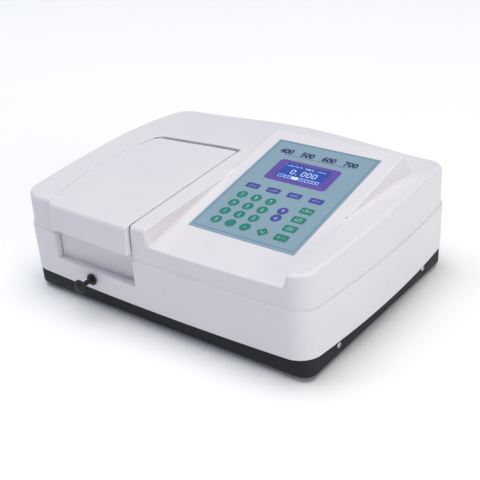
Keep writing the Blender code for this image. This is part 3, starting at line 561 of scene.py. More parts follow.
def make_shells():
    """The upper and lower shells and the lid, each on a grid that is finest at its edges."""
    span_x, span_y = (-0.243, 0.243, 0.007, 0.0011), (-0.188, 0.188, 0.007, 0.0011)
    rims_x = (-RIM_X, 0.010 - RIM_X, RIM_X - 0.010, RIM_X)
    rims_y = (-RIM_Y, 0.010 - RIM_Y, RIM_Y - 0.010, RIM_Y)
    xs = ticks(*span_x, (*rims_x, LID_LEFT + 0.001, RECESS_LEFT, OPENING_RIGHT - 0.0013, CONSOLE_LEFT,
                         CONSOLE_RIGHT + 0.001, 0.204), 0.006, 0.010)
    ys = ticks(*span_y, (*rims_y, RECESS_BACK, OPENING_BACK - 0.003, CONSOLE_CREST + 0.004), 0.006, 0.012)
    zs = np.concatenate([(SEAM - 0.0004, SEAM + 0.0002, SEAM + 0.0005),
                         ticks(SEAM + 0.0010, 0.112, 0.003, 0.0009, (SEAM,), 0.001, 0.006),
                         ticks(0.1130, 0.183, 0.0012, 0.0012, (0.15,))])
    shell = moulded("upper_shell", upper_form, (xs, ys, zs), WHITE, follow_lid)
    settle(shell, "case", "white_plastic", "upper_housing")
    xs = ticks(*span_x, (*rims_x, RECESS_LEFT, ROD.x, OPENING_RIGHT, REAR[0].x, REAR[1].x), 0.006, 0.010)
    ys = ticks(*span_y, (*rims_y, RECESS_BACK), 0.007, 0.012)
    levels = (SKIRT + 0.0015, REAR[0].z + PANEL_LIP, RECESS_BOTTOM, REAR[1].z - PANEL_LIP, SEAM - 0.001)
    zs = ticks(SKIRT - 0.0012, SEAM + 0.0015, 0.0035, 0.0009, levels, 0.002, 0.01)
    shell = moulded("lower_shell", lower_form, (xs, ys, zs), WHITE)
    settle(shell, "case", "white_plastic", "lower_housing")
    xs = ticks(-0.192, -0.024, 0.004, 0.0009, (LID_LEFT + 0.001, *EARS, LID_RIGHT - 0.001))
    ys = ticks(-0.192, 0.048, 0.004, 0.0009, (-0.182, LID_BACK - LID_CORNER, LID_BACK))
    zs = ticks(0.104, 0.166, 0.002, 0.001, (LID_BOTTOM, LID_SKIRT, 0.152, 0.16), 0.003, 0.01)
    shell = moulded("lid_shell", lid_form, (xs, ys, zs), WHITE, follow_lid)
    settle(shell, "lid", "white_plastic", "sample_lid")


make_shells()


# --- small modelled pieces ---
def circle(radius, count=48):
    return [(radius * cos(2 * pi * n / count), radius * sin(2 * pi * n / count)) for n in range(count)]


def rounded(half_u, half_v, corner, turn=0.0, steps=7):
    """Points round a rectangle with rounded corners, anticlockwise, turned about its middle."""
    corner = max(corner, 1e-5)
    points = []
    for quarter, (side, end) in enumerate(((1, 1), (-1, 1), (-1, -1), (1, -1))):
        for step in range(steps + 1):
            angle = pi / 2 * (quarter + step / steps)
            points.append((side * (half_u - corner) + corner * cos(angle),
                           end * (half_v - corner) + corner * sin(angle)))
    return [(u * cos(turn) - v * sin(turn), u * sin(turn) + v * cos(turn)) for u, v in points]


def hexagon(radius, count=48):
    """As many points as a circle has, on a regular hexagon."""
    return [(u * share, v * share) for u, v, share in
            ((*p, cos(pi / 6) / cos((n * 2 * pi / count) % (pi / 3) - pi / 6))
             for n, p in enumerate(circle(radius, count)))]


def moved(points, u, v):
    return [(a + u, b + v) for a, b in points]


def ring_of(points):
    """A closed line through points."""
    return [*points, points[0]]


def loft(rings, closed=False):
    """A mesh over rings of (points, height), capped at both ends or closed on itself."""
    bm = bmesh.new()
    rows = [[bm.verts.new((u, v, height)) for u, v in points] for points, height in rings]
    pairs = list(zip(rows, rows[1:])) + ([(rows[-1], rows[0])] if closed else [])
    count = len(rows[0])
    for low, high in pairs:
        for n in range(count):
            bm.faces.new((low[n], low[(n + 1) % count], high[(n + 1) % count], high[n]))
    if not closed:
        bm.faces.new(rows[0][::-1])
        bm.faces.new(rows[-1])
    return to_mesh(bm)


def stack(shape, steps):
    """A loft of one outline that is inset by a different amount at each height."""
    return loft([(shape(inset), height) for inset, height in steps])


def pin_profile(radius, length, ease):
    """A round pin's (radius, height) pairs, with eased ends."""
    return [(radius - ease, 0.0), (radius, ease), (radius, length - ease), (radius - ease, length)]


def to_mesh(bm):
    bmesh.ops.recalc_face_normals(bm, faces=bm.faces)
    mesh = bpy.data.meshes.new("made")
    bm.to_mesh(mesh)
    bm.free()
    return mesh


def turned(profile, closed=False, count=48):
    """A turned mesh about Z from (radius, height) pairs."""
    return loft([(circle(radius, count), height) for radius, height in profile], closed)


def arc(centre, radius, start, end, steps=6):
    """(radius, height) points of a rounded edge in a turned profile; angles in degrees."""
    turns = [radians(start + (end - start) * n / steps) for n in range(steps + 1)]
    return [(centre[0] + radius * cos(a), centre[1] + radius * sin(a)) for a in turns]


def curve_mesh(data):
    obj = bpy.data.objects.new("curve", data)
    bpy.context.scene.collection.objects.link(obj)
    bpy.context.view_layer.update()
    mesh = bpy.data.meshes.new_from_object(obj.evaluated_get(bpy.context.evaluated_depsgraph_get()))
    bpy.data.objects.remove(obj)
    bpy.data.curves.remove(data)
    bm = bmesh.new()
    bm.from_mesh(mesh)
    bmesh.ops.remove_doubles(bm, verts=bm.verts, dist=1e-6)
    bpy.data.meshes.remove(mesh)
    return to_mesh(bm)


def polylines(kind, lines, closed=False):
    data = bpy.data.curves.new("lines", "CURVE")
    data.dimensions = kind
    for line in lines:
        spline = data.splines.new("POLY")
        spline.points.add(len(line) - 1)
        for point, (u, v) in zip(spline.points, line):
            point.co = (u, v, 0, 1)
        spline.use_cyclic_u = closed
    return data


def sheet_mesh(loops, low, high):
    """A flat sheet between two heights; every loop after the first is a hole."""
    data = polylines("2D", loops, True)
    data.fill_mode, data.extrude = "BOTH", (high - low) / 2
    mesh = curve_mesh(data)
    mesh.transform(shift(0, 0, (high + low) / 2))
    return mesh


def stroke_mesh(lines, width, height):
    """Rounded ink strokes along lines of (u, v), standing half their height out of the surface."""
    data = polylines("3D", lines)
    data.bevel_depth, data.bevel_resolution, data.use_fill_caps = width / 2, 2, True
    mesh = curve_mesh(data)
    mesh.transform(Matrix.Diagonal((1, 1, height / width, 1)))
    return mesh


def text_mesh(words, size, height, squeeze=1.0, bold=0.0):
    """Figures centred on the origin, as a thin solid."""
    data = bpy.data.curves.new("figures", "FONT")
    data.body, data.size, data.extrude, data.offset = words, size, height / 2, bold
    data.align_x, data.align_y = "CENTER", "CENTER"
    data.resolution_u = 3
    mesh = curve_mesh(data)
    mesh.transform(Matrix.Diagonal((squeeze, 1, 1, 1)))
    return mesh


def piece(name, parts, body, slot, *nodes):
    """One piece from several (mesh, matrix, material), settled on its body."""
    bm, looks = bmesh.new(), []
    for mesh, matrix, look in parts:
        if look not in looks:
            looks.append(look)
        points, faces = len(bm.verts), len(bm.faces)
        bm.from_mesh(mesh)
        bm.verts.ensure_lookup_table()
        bm.faces.ensure_lookup_table()
        bmesh.ops.transform(bm, matrix=matrix, verts=bm.verts[points:])
        for face in bm.faces[faces:]:
            face.material_index = looks.index(look)
        bpy.data.meshes.remove(mesh)
    made = bpy.data.meshes.new(name)
    bm.to_mesh(made)
    bm.free()
    for look in looks:
        made.materials.append(look)
    made.shade_smooth()
    made.set_sharp_from_angle(angle=radians(35))
    settle(add(name, made), body, slot, *nodes)


def at(u, v, w=0.0):
    """Millimetres on the console's plane, as a place in the case."""
    return CONSOLE @ shift(u * MM, v * MM, w * MM)


# --- keypad ---
SILKY = (0.000006, 2200.0, 0.02)
FILM = moulded_plastic("overlay_film", (0.215, 0.335, 0.410), (0.240, 0.360, 0.435), 0.42, *SILKY)
NAVY = printed("ink_navy", (0.014, 0.020, 0.105), (0.018, 0.026, 0.125))
BORDER = printed("ink_border", (0.045, 0.085, 0.225), (0.055, 0.100, 0.250))
PURPLE = printed("ink_purple", (0.105, 0.062, 0.340), (0.120, 0.070, 0.360))
LEGEND = printed("ink_legend", (0.42, 0.62, 0.62), (0.48, 0.68, 0.66))
PALE = printed("ink_pale", (0.62, 0.62, 0.61), (0.68, 0.68, 0.67))
LEGEND_BLUE = printed("ink_legend_blue", (0.40, 0.42, 0.70), (0.46, 0.48, 0.74))
KEY_GREEN = moulded_plastic("key_green", (0.006, 0.195, 0.135), (0.008, 0.210, 0.150), 0.4, *SILKY)
KEY_BLUE = moulded_plastic("key_blue", (0.050, 0.056, 0.300), (0.056, 0.064, 0.320), 0.4, *SILKY)
FILM_LOW, FILM_TOP, INK = 0.00004, 0.00026, 0.00004
KEY_TOP, KEY_FOOT = 0.0005, -0.0014
FILM_HALF = (0.07825, 0.1045)
WINDOW = (-2.2, 41.4, 34.0, 16.5)        # middle and half sizes of the screen's window, millimetres
FRAME = (-2.0, 40.5, 46.5, 23.5)         # the purple frame printed round it


def panel_spot(node):
    """A key's middle on the console's plane, in millimetres."""
    local = CONSOLE.inverted() @ middle(node)
    return local.x / MM, local.y / MM


def key_shape(node):
    """The outline of a key as a function of inset, from its CAD box."""
    low, high = node_box(node)
    half_u = (high.x - low.x) / 2
    half_v = (high.y - low.y - (KEY_TOP - KEY_FOOT) * sin(TILT)) / cos(TILT) / 2
    if node in ROUND_KEYS:
        return lambda inset: circle(half_u - inset)
    if node == "key_enter":
        side = (half_u + (sqrt(2) - 1) * 0.0018) / sqrt(2)
        return lambda inset: rounded(side - inset, side - inset, 0.0018 - inset, pi / 4)
    return lambda inset: rounded(half_u - inset, half_v - inset, 0.0022 - inset)


def ticks_and_numbers():
    """A wavelength scale for the head of the keypad: a line, ticks, and round numbers."""
    left, right, line, steps = -52.0, 46.0, 73.6, 30
    marks = [[(left * MM, line * MM), (right * MM, line * MM)]]
    for step in range(steps + 1):
        u = (left + (right - left) * step / steps) * MM
        marks.append([(u, line * MM), (u, (line + (2.4 if step % 10 == 0 else 1.2)) * MM)])
    parts = [(stroke_mesh(marks, 0.0006, 2 * INK), at(0, 0, FILM_TOP / MM), NAVY)]
    for step in range(0, steps + 1, 10):
        u = left + (right - left) * step / steps
        figure = text_mesh(str(400 + 10 * step), 0.0140, INK, 0.95, 0.00065)
        parts.append((figure, at(u, line + 7.2, (FILM_TOP + INK / 2) / MM), NAVY))
    return parts


def make_film():
    """The film with its holes, its border line, the frame round the screen, and the scale."""
    window, frame_edge = (moved(rounded(half_u * MM, half_v * MM, corner), u * MM, v * MM)
                          for (u, v, half_u, half_v), corner in ((WINDOW, 0.0004), (FRAME, 0.0052)))
    loops = [rounded(*FILM_HALF, 0.0015), window]
    for node in KEYS:
        u, v = panel_spot(node)
        loops.append(moved(key_shape(node)(-0.0003), u * MM, v * MM))
    border = [moved(rounded(half_u, half_v, 0.0012), 0, 0.0013)
              for half_u, half_v in ((0.0746, 0.1007), (0.0739, 0.1000))]
    parts = [(sheet_mesh(loops, FILM_LOW, FILM_TOP), CONSOLE, FILM)]
    for lines, look in ((border, BORDER), ([frame_edge, window], PURPLE)):
        parts.append((sheet_mesh(lines, FILM_TOP, FILM_TOP + INK), CONSOLE, look))
    piece("keypad_film", parts + ticks_and_numbers(), "case", "overlay_film", "keypad_overlay")


def icon(name):
    """The strokes printed on a key, in millimetres."""
    frame_line = ring_of([(-4, -2.4), (4, -2.4), (4, 2.4), (-4, 2.4)])
    icons = {
        "soft_1": [[(-6, -1.6), (-3.8, -1.6), (-2.2, 1.8), (-0.6, -0.9), (1.2, 0.9), (2.8, -1.6),
                    (6, -1.6)]],
        "soft_2": [[(1.7 * n, -1.7), (1.7 * n, 0.64 + 0.36 * n)] for n in range(-3, 4)],
        "soft_3": [[(-6, -1.7), (6, -1.7)], [(-5.4, -1.0), (-1.5, 0.4), (1.8, 0.6), (5.4, 1.9)]],
        "soft_4": [[(5.5, 0), (-4.6, 0)], [(-2.6, 1.7), (-5.2, 0), (-2.6, -1.7)]],
        "zero": [[(-5.8, -1.9), (-5.8, 1.9)], [(5.8, -1.9), (5.8, 1.9)], [(-4.6, 0), (-2.6, 0)],
                 [(2.6, 0), (4.6, 0)]],
        "blank": [frame_line, [(-4, -2.4), (4, 2.4)]],
        "print": [frame_line, [(-2.2, 1.0), (2.2, 1.0)], [(-2.2, -0.8), (2.2, -0.8)]],
        "start": [[(-4.6, -2.0), (-4.6, 2.0), (-1.0, 0), (-4.6, -2.0)], [(1.0, 0), (5.0, 0)]],
        "enter": [[(2.3, 2.2), (2.3, -0.6), (-2.2, -0.6)], [(-0.9, 0.9), (-2.5, -0.6), (-0.9, -2.1)]],
        "up": [[(-2.4, 0.2), (0, 2.8), (2.4, 0.2)], [(0, 2.4), (0, -2.8)]],
        "down": [[(-2.4, -0.2), (0, -2.8), (2.4, -0.2)], [(0, -2.4), (0, 2.8)]],
        "minus": [[(-2.0, 0), (2.0, 0)]],
        "point": [[(-0.4, -0.3), (0.4, -0.3)]],
    }
    return icons.get(name, [[(-2.0, -3.4), (-0.6, -3.4)], [(0.6, -3.4), (2.0, -3.4)]])


def make_key(node):
    """A cap with a softly rounded rim and its printed figure or icon."""
    label = node[4:]
    blue = label in ("up", "down") or label.startswith("soft")
    cap, ink = (KEY_BLUE, LEGEND_BLUE) if blue else (KEY_GREEN, LEGEND)
    place = at(*panel_spot(node))
    parts = [(stack(key_shape(node), (
        (0.0, KEY_FOOT), (0.0, 0.00026), (0.00006, 0.00036), (0.00018, 0.00043), (0.0004, 0.00048),
        (0.0010, KEY_TOP))), place, cap)]
    lines = [[(u * MM, v * MM) for u, v in line] for line in icon(label)]
    width = 0.0010 if label in ("up", "down") else 0.0006
    parts.append((stroke_mesh(lines, width, 2 * INK), place @ shift(0, 0, KEY_TOP), ink))
    figure = "0" if label == "zero" else label
    if figure.isdigit():
        lift = shift(0, 0.0004, KEY_TOP + INK / 2)
        parts.append((text_mesh(figure, 0.0068, INK, 1.0, 0.00008), place @ lift, ink))
    piece(node.replace("key", "cap"), parts, node, "key_blue" if blue else "key_green", node)


KEYS = [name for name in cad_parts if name.startswith("key_")]
ROUND_KEYS = [name for name in KEYS if name[4:].isdigit() or name[4:] in ("point", "minus", "up", "down")]


# --- screen ---
def screen_glass():
    look = Look("screen_glass")
    cells = look.node("ShaderNodeTexVoronoi", {"Vector": look.place}, Scale=1800.0).outputs["Distance"]
    body = look.blend(look.patches(30.0, 0.0, 1.0), (0.022, 0.062, 0.320), (0.032, 0.080, 0.360))
    return look.finish(body, look.patches(40.0, 0.16, 0.24), look.bump(cells, 0.000002), body,
                       Emission_Strength=0.22, Specular_IOR_Level=0.3)


def lit_ink():
    look = Look("screen_figures")
    body = look.blend(look.patches(200.0, 0.0, 1.0), (0.62, 0.70, 0.90), (0.72, 0.80, 0.95))
    return look.finish(body, 0.4, glow=body, Emission_Strength=0.25)


def make_screen():
    """The display: its bezel block, the glass, a reading, and two rows of small fields."""
    glass, figures = screen_glass(), lit_ink()
    u0, v0, half_u, half_v = WINDOW
    face = -0.1                                   # millimetres; the film's underside is at 0
    parts = [(stack(lambda inset: rounded(half_u * MM - inset, half_v * MM - inset, 0.0004), (
        (0.0003, -0.0055), (0.0003, face * MM - 0.0002), (0.0005, face * MM))), at(u0, v0), glass)]
    parts.append((stack(lambda inset: rounded(0.040, 0.022, 0.001), ((0, -0.013), (0, -0.0036))),
                  at(u0, v0), BLACK))

    def write(mesh, u=0.0, v=0.0, lift=0.0, look=figures):
        parts.append((mesh, at(u0 + u, v0 + v, face + lift), look))

    for u in (-15.0, 1.0, 9.2, 17.4):
        write(stroke_mesh([ring_of(rounded(0.0025, 0.0045, 0.0021))], 0.0010, 2 * INK), u, 0.6)
    write(stroke_mesh([[(-0.0003, 0), (0.0003, 0)]], 0.0022, 2 * INK), -8.4, -3.9)
    write(text_mesh("546.0", 0.0052, INK, 1.1), 3.0, 11.8, 0.02)
    dashes = [((2.6 * n - 30, 11.0 + 1.1 * (n % 3)), (2.6 * n - 28.4, 11.0 + 1.1 * ((n + 1) % 3)))
              for n in range(9)]
    dashes += [((2.6 * n + 16, 11.6), (2.6 * n + 17.6, 11.6 + 1.2 * (n % 2))) for n in range(5)]
    write(stroke_mesh([[(u * MM, v * MM) for u, v in dash] for dash in dashes], 0.0008, 2 * INK))
    field, pitch, row, lit = 9.0, 10.4, -11.3, 2
    for n in range(6):
        u = (n - 2.5) * pitch
        loops = [moved(rounded(field / 2 * MM - inset, 0.0029 - inset, corner), u * MM, row * MM)
                 for inset, corner in ((0.0, 0.0003), (0.0005, 0.0002))]
        write(sheet_mesh(loops[:1] if n == lit else loops, 0, INK), lift=0.005)
        number = text_mesh(str(n + 1), 0.0046, INK, 1.2)
        write(number, u, row, *((0.06, glass) if n == lit else (0.02,)))
    piece("screen", parts, "case", "display", "lcd_module")


# --- base, feet, screws, pull rod ---
STEEL = metal("steel", (0.60, 0.60, 0.62), 0.28, (0.15, 1.0, 1.0))


def make_base():
    """The tray: a rounded foot, a soft rim and a hollow inside."""
    half_u, half_v = TRAY[1].x, (TRAY[1].y - TRAY[0].y) / 2
    corner, wall = 0.017, 0.0025
    low, high = TRAY[0].z, TRAY[1].z
    steps = [(0.030, low), (0.0030, low), (0.0012, low + 0.0004), (0.0004, low + 0.0012), (0.0, low + 0.0028),
             (0.0, high - 0.0006), (0.0004, high), (wall - 0.0003, high), (wall, high - 0.0004),
             (wall, low + wall + 0.001), (wall + 0.001, low + wall), (0.030, low + wall)]
    tray = stack(lambda inset: rounded(half_u - inset, half_v - inset, corner - min(inset, 0.012), 0.0, 10),
                 steps)
    piece("base", [(tray, Matrix.Identity(4), BASE)], "case", "base_plastic", "base_tray")


def make_feet():
    """Rubber pads with a dished middle."""
    for node in (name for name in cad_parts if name.startswith("foot_")):
        spot, top = middle(node), node_box(node)[1].z
        profile = [(0.0030, 0.0012), (0.0050, 0.0012), (0.0056, 0.0), (0.0085, 0.0),
                   *arc((0.0085, 0.0010), 0.0010, -90, -8), (0.0110, top - 0.0005), (0.0106, top)]
        place = shift(spot.x, spot.y, 0)
        piece(node.replace("foot", "pad"), [(turned(profile), place, RUBBER)], "case", "rubber", node)


def screw_mesh(radius, height, socket):
    """A pan head with a hexagonal socket."""
    head = ((1.0, 0.0), (1.0, 0.25), (0.93, 0.6), (0.75, 0.88), (0.5, 1.0))
    hole = ((1.0, 1.0), (0.93, 0.9), (0.93, 0.35))
    return loft([(circle(wide * radius), high * height) for wide, high in head]
                + [(hexagon(wide * socket), high * height) for wide, high in hole])


def make_side_screws():
    for node in (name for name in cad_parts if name.startswith("side_screw")):
        (low, high), spot = node_box(node), middle(node)
        side = 1 if low.x > 0 else -1
        place = shift(low.x if side > 0 else high.x, spot.y, spot.z)
        place = place @ Matrix.Rotation(side * pi / 2, 4, "Y")
        head = screw_mesh(0.0038, high.x - low.x, 0.0014)
        piece(node.replace("side_screw", "screw"), [(head, place, STEEL)], "case", "steel", node)


def make_pull():
    """The black stem, its mushroom knob and the bushing that it slides in."""
    def front_piece(name, mesh, back, body, node):
        place = shift(ROD.x, back, ROD.z) @ Matrix.Rotation(pi / 2, 4, "X")
        piece(name, [(mesh, place, BLACK)], body, "black_plastic", node)

    low, high = node_box("pull_rod")
    radius = (high.x - low.x) / 2
    stem = turned(pin_profile(radius, high.y - low.y, 0.0004))
    front_piece("stem", stem, high.y, "carriage", "pull_rod")
    deep = KNOB[1].y - KNOB[0].y
    cap = [(0.0040, 0.0), (0.0042, 0.0006), (0.0043, 0.0022), (0.0052, 0.0030), (0.0080, 0.0036),
           *arc((0.0080, 0.0052), 0.0015, -60, 35), (0.0084, 0.0078), (0.0066, deep - 0.0008),
           (0.0040, deep - 0.0002), (0.0012, deep)]
    front_piece("knob", turned(cap), KNOB[1].y, "carriage", "pull_knob")
    long, bore = BUSHING[1].y - BUSHING[0].y, radius + 0.0003
    ring = [(bore, 0.0), (0.0048, 0.0), (0.0048, long - 0.0026), (0.0080, long - 0.0025),
            (0.0080, long - 0.0014), *arc((0.0068, long - 0.0012), 0.0012, 0, 90),
            (bore + 0.0012, long), (bore + 0.0004, long - 0.0004), (bore, long - 0.0012)]
    front_piece("bushing", turned(ring, True), BUSHING[1].y, "case", "rod_bushing")


# --- sample chamber ---
ALONG_X = Matrix.Rotation(pi / 2, 4, "Y")


def make_hinge():
    """The steel pin, and the lid's knuckles that turn on it."""
    low, high = node_box("lid_hinge_pin")
    radius = (high.z - low.z) / 2
    pin = turned(pin_profile(radius, high.x - low.x, 0.0003))
    place = shift(low.x, PIN.y, PIN.z) @ ALONG_X
    piece("hinge_pin", [(pin, place, STEEL)], "case", "steel", "lid_hinge_pin")
    parts = []
    for x in KNUCKLES:
        top = float(top_height(x, PIN.y)) - 0.0015 - PIN.z
        nose = [(0.0042 * sin(pi * n / 14), -0.0042 * cos(pi * n / 14)) for n in range(15)]
        loops = [[(-top, -0.0042), *nose, (-top, 0.0042)], circle(radius + 0.0003, 32)]
        place = shift(x, PIN.y, PIN.z) @ ALONG_X
        parts.append((sheet_mesh(loops, -0.005, 0.005), place, WHITE))
    piece("lid_knuckles", parts, "lid", "white_plastic")


def make_chamber():
    """The tub that the light crosses, and the carriage with its four sockets."""
    (x0, y0, z0), (x1, y1, z1), wall = TUB_LOW, TUB_HIGH, 0.0012
    xs = ticks(-0.189, -0.026, 0.005, 0.0011, (x0 + wall, x1 - wall, *LEGS_X, *EARS), 0.006, 0.01)
    ys = ticks(-0.167, 0.052, 0.005, 0.0011, (y0 + wall, y1 - wall, *LEGS_Y, PIN.y, BEAM[0]), 0.006, 0.01)
    zs = ticks(0.0078, 0.1548, 0.005, 0.0010, (z0 + wall, z1 - wall, PIN.z, BEAM[1]), 0.004, 0.01)
    settle(moulded("tub", tub_form, (xs, ys, zs), BLACK), "case", "black_plastic", "sample_tub")
    lines = [np.arange(a - 0.0011, b + 0.0018, 0.0009) for a, b in zip(*CARRIAGE)]
    settle(moulded("cell_block", carriage_form, lines, ANODISED), "carriage", "black_metal", "cell_carriage")


# --- rear ---
TO_REAR = Matrix(((-1, 0, 0, 0), (0, 0, 1, 0), (0, 1, 0, 0), (0, 0, 0, 1)))
REAR_FACE = REAR[1].y
FAN, INLET, SWITCH, PORT = map(middle, ("fan_frame", "power_inlet", "power_rocker", "data_port"))
FAN.z = round(FAN.z, 4)
FAN_BORE, FAN_HOLES, SCREW_INSET = 0.0185, 0.0215, 0.0115


def rear(x, z, y=0.0):
    """A place on the rear panel's outer face, with local Z pointing out of it."""
    return shift(x, REAR_FACE + y, z) @ TO_REAR


def make_rear_panel():
    """The panel with its four holes and four screws, and the wire guard over the fan."""
    half_u, half_v = (REAR[1].x - REAR[0].x) / 2, (REAR[1].z - REAR[0].z) / 2
    loops = [moved(points, -spot.x, spot.z) for points, spot in (
        (rounded(half_u, half_v, 0.002), middle("rear_panel")), (circle(FAN_BORE, 64), FAN),
        (rounded(0.0140, 0.0105, 0.0008), INLET), (rounded(0.0070, 0.0110, 0.0005), SWITCH),
        (rounded(0.0155, 0.0065, 0.0008), PORT))]
    parts = [(sheet_mesh(loops, -0.002, 0.0), rear(0, 0), POWDER)]
    for x in (REAR[0].x + SCREW_INSET, REAR[1].x - SCREW_INSET):
        for z in (REAR[0].z + SCREW_INSET, REAR[1].z - SCREW_INSET):
            parts.append((screw_mesh(0.0024, 0.0016, 0.0009), rear(x, z), STEEL))
    piece("back_plate", parts, "case", "panel_steel", "rear_panel")
    corners = [(FAN_HOLES * cos(pi / 4 * n), FAN_HOLES * sin(pi / 4 * n)) for n in (1, 3, 5, 7)]
    wires = [ring_of(circle(radius)) for radius in (0.0055, 0.0105, 0.0155)]
    wires += [corners[0::2], corners[1::2]]
    guard = [(stroke_mesh(wires, 0.0013, 0.0013), rear(FAN.x, FAN.z, 0.0010), STEEL)]
    for u, v in corners:
        guard.append((screw_mesh(0.0026, 0.0022, 0.0010), rear(FAN.x - u, FAN.z + v), STEEL))
    piece("fan_guard", guard, "case", "steel")


def chamfered(half_u, half_v, cut_off):
    """The six-sided mouth of a mains inlet."""
    return [(-half_u, -half_v), (half_u, -half_v), (half_u, half_v - cut_off), (half_u - cut_off, half_v),
            (-half_u + cut_off, half_v), (-half_u, half_v - cut_off)]


def make_inlet():
    """A flange, a sleeve, its floor, and three flat pins."""
    mouth, sleeve = chamfered(0.0115, 0.0078, 0.0045), rounded(0.0137, 0.0102, 0.0015)
    parts = [(sheet_mesh(loops, low, high), rear(INLET.x, INLET.z), BLACK) for loops, low, high in (
        ([rounded(0.0175, 0.0135, 0.002), mouth], 0.0003, 0.0024), ([sleeve, mouth], -0.0198, 0.0004),
        ([sleeve], -0.0218, -0.0160))]
    for u, v in ((-0.007, -0.001), (0.0, 0.003), (0.007, -0.001)):
        pin = stack(lambda inset: rounded(0.0010 - inset, 0.0020 - inset, 0.0004),
                    ((0, -0.0165), (0, -0.0035), (0.0005, -0.0024)))
        parts.append((pin, rear(INLET.x - u, INLET.z + v), STEEL))
    piece("mains_inlet", parts, "case", "black_plastic", "power_inlet")


def make_switch():
    """A rocker tilted to its off side, with an I and an O shaped mark, in a slim bezel."""
    bezel = sheet_mesh([rounded(0.0088, 0.0128, 0.0014), rounded(0.0069, 0.0109, 0.0006)], 0.0002, 0.0012)
    piece("switch_bezel", [(bezel, rear(SWITCH.x, SWITCH.z), BLACK)], "case", "black_plastic")
    face = [(0.0045 - 0.0007 * cos(pi * n / 16) ** 2, -0.0096 + 0.0192 * n / 16) for n in range(17)]
    profile = [(-0.0060, -0.0055), *face, (-0.0060, 0.0055)]
    body = stack(lambda share: [(u * share, v * share) for u, v in profile],
                 ((0.96, -0.0065), (1.0, -0.0061), (1.0, 0.0061), (0.96, 0.0065)))
    tilt = shift(SWITCH.x, REAR_FACE - 0.0005, SWITCH.z) @ Matrix.Rotation(radians(-8), 4, "X")
    lay = Matrix(((0, 0, 1, 0), (1, 0, 0, 0), (0, 1, 0, 0), (0, 0, 0, 1)))
    out = tilt @ shift(0, 0.0041, 0) @ TO_REAR
    bar = stroke_mesh([[(0, 0.0044), (0, 0.0072)]], 0.0007, 0.0003)
    ring = stroke_mesh([ring_of(moved(circle(0.0015, 24), 0, -0.0058))], 0.0006, 0.0003)
    parts = [(body, tilt @ lay, BLACK), (bar, out, PALE), (ring, out, PALE)]
    piece("rocker_cap", parts, "rocker", "black_plastic", "power_rocker")


def d_shape(half_u, half_v, lean):
    """The D-shaped outline of a data connector."""
    return [(-half_u + lean, -half_v), (half_u - lean, -half_v), (half_u, half_v), (-half_u, half_v)]


def make_port():
    """A plate, a D-shaped shell, nine pins, and two hexagonal bolts."""
    place = rear(PORT.x, PORT.z)
    parts = [(sheet_mesh(loops, low, high), place, look) for loops, low, high, look in (
        ([rounded(0.0150, 0.0060, 0.001), d_shape(0.0082, 0.0040, 0.0014)], -0.0135, 0.0010, STEEL),
        ([d_shape(0.0091, 0.0047, 0.0015), d_shape(0.0084, 0.0041, 0.0014)], 0.0008, 0.0048, STEEL),
        ([d_shape(0.0083, 0.0040, 0.0014)], -0.0100, 0.0006, BLACK))]
    for side in (-1, 1):
        bolt = loft([(hexagon(0.0026), 0.0010), (hexagon(0.0026), 0.0042), (circle(0.0022), 0.0049)])
        parts.append((bolt, rear(PORT.x + side * 0.0122, PORT.z), STEEL))
    for row, count in ((0.0014, 5), (-0.0014, 4)):
        for n in range(count):
            u = (n - (count - 1) / 2) * 0.0027
            pin = turned([(0.0005, 0.0005), (0.0005, 0.0038), (0.0002, 0.0044)], count=12)
            parts.append((pin, place @ shift(u, row, 0), STEEL))
    piece("serial_port", parts, "case", "steel", "data_port")


def make_fan():
    """The fan's square frame with two crossed arms, and its five twisted blades on a hub."""
    frame_at, rotor_at = (shift(FAN.x, node_box(node)[0].y, FAN.z) @ TO_REAR
                          for node in ("fan_frame", "fan_rotor"))
    frame_deep, deep = ((node_box(node)[1] - node_box(node)[0]).y for node in ("fan_frame", "fan_rotor"))
    loops = [rounded(0.020, 0.020, 0.0025), circle(FAN_BORE, 64)]
    parts = [(sheet_mesh(loops, 0, frame_deep), frame_at, BLACK)]
    for turn in (pi / 4, 3 * pi / 4):
        arm = rounded(FAN_HOLES, 0.001, 0.0005, turn)
        parts.append((sheet_mesh([arm], 0, 0.0013), frame_at, BLACK))
    piece("fan_case", parts, "case", "black_plastic", "fan_frame")
    hub = [(0.0070, 0.0), (0.0075, 0.0005), (0.0075, deep - 0.0008),
           *arc((0.0067, deep - 0.0008), 0.0008, 0, 90), (0.0020, deep), (0.0018, deep - 0.0003)]
    parts = [(turned(hub), rotor_at, BLACK)]
    for blade in range(5):
        rings = [(rounded(0.0036, 0.0005, 0.0004, radians(turn)), radius) for turn, radius in
                 ((42, 0.0066), (38, 0.0100), (34, 0.0140), (31, 0.0170))]
        spoke = Matrix.Rotation(blade * 2 * pi / 5, 4, "Z") @ ALONG_X
        parts.append((loft(rings), rotor_at @ shift(0, 0, deep / 2) @ spoke, BLACK))
    piece("impeller", parts, "fan", "black_plastic", "fan_rotor")


# --- pieces kept from the CAD ---
ANODISED = metal("anodised", (0.020, 0.020, 0.022), 0.40, (1.0, 1.0, 1.0), 0.000006)
ALUMINIUM = metal("aluminium", (0.72, 0.72, 0.73), 0.34, (0.1, 1.0, 1.0))
POWDER = moulded_plastic("powder_coat", (0.42, 0.42, 0.43), (0.45, 0.45, 0.46), 0.5, 0.00004, 900.0, 0.12)
BOARD = moulded_plastic("circuit_board", (0.010, 0.105, 0.040), (0.020, 0.150, 0.060), 0.35, 0.00002,
                        500.0, 0.05)


def quartz():
    look = Look("quartz")
    tone = look.blend(look.spread(look.noise(80.0), 0.0, 1.0), (0.90, 0.92, 0.94), (0.97, 0.97, 0.96))
    return look.finish(tone, look.patches(50.0, 0.02, 0.12), look.bump(look.noise(120.0), 0.00001),
                       Transmission_Weight=0.9, IOR=1.46)


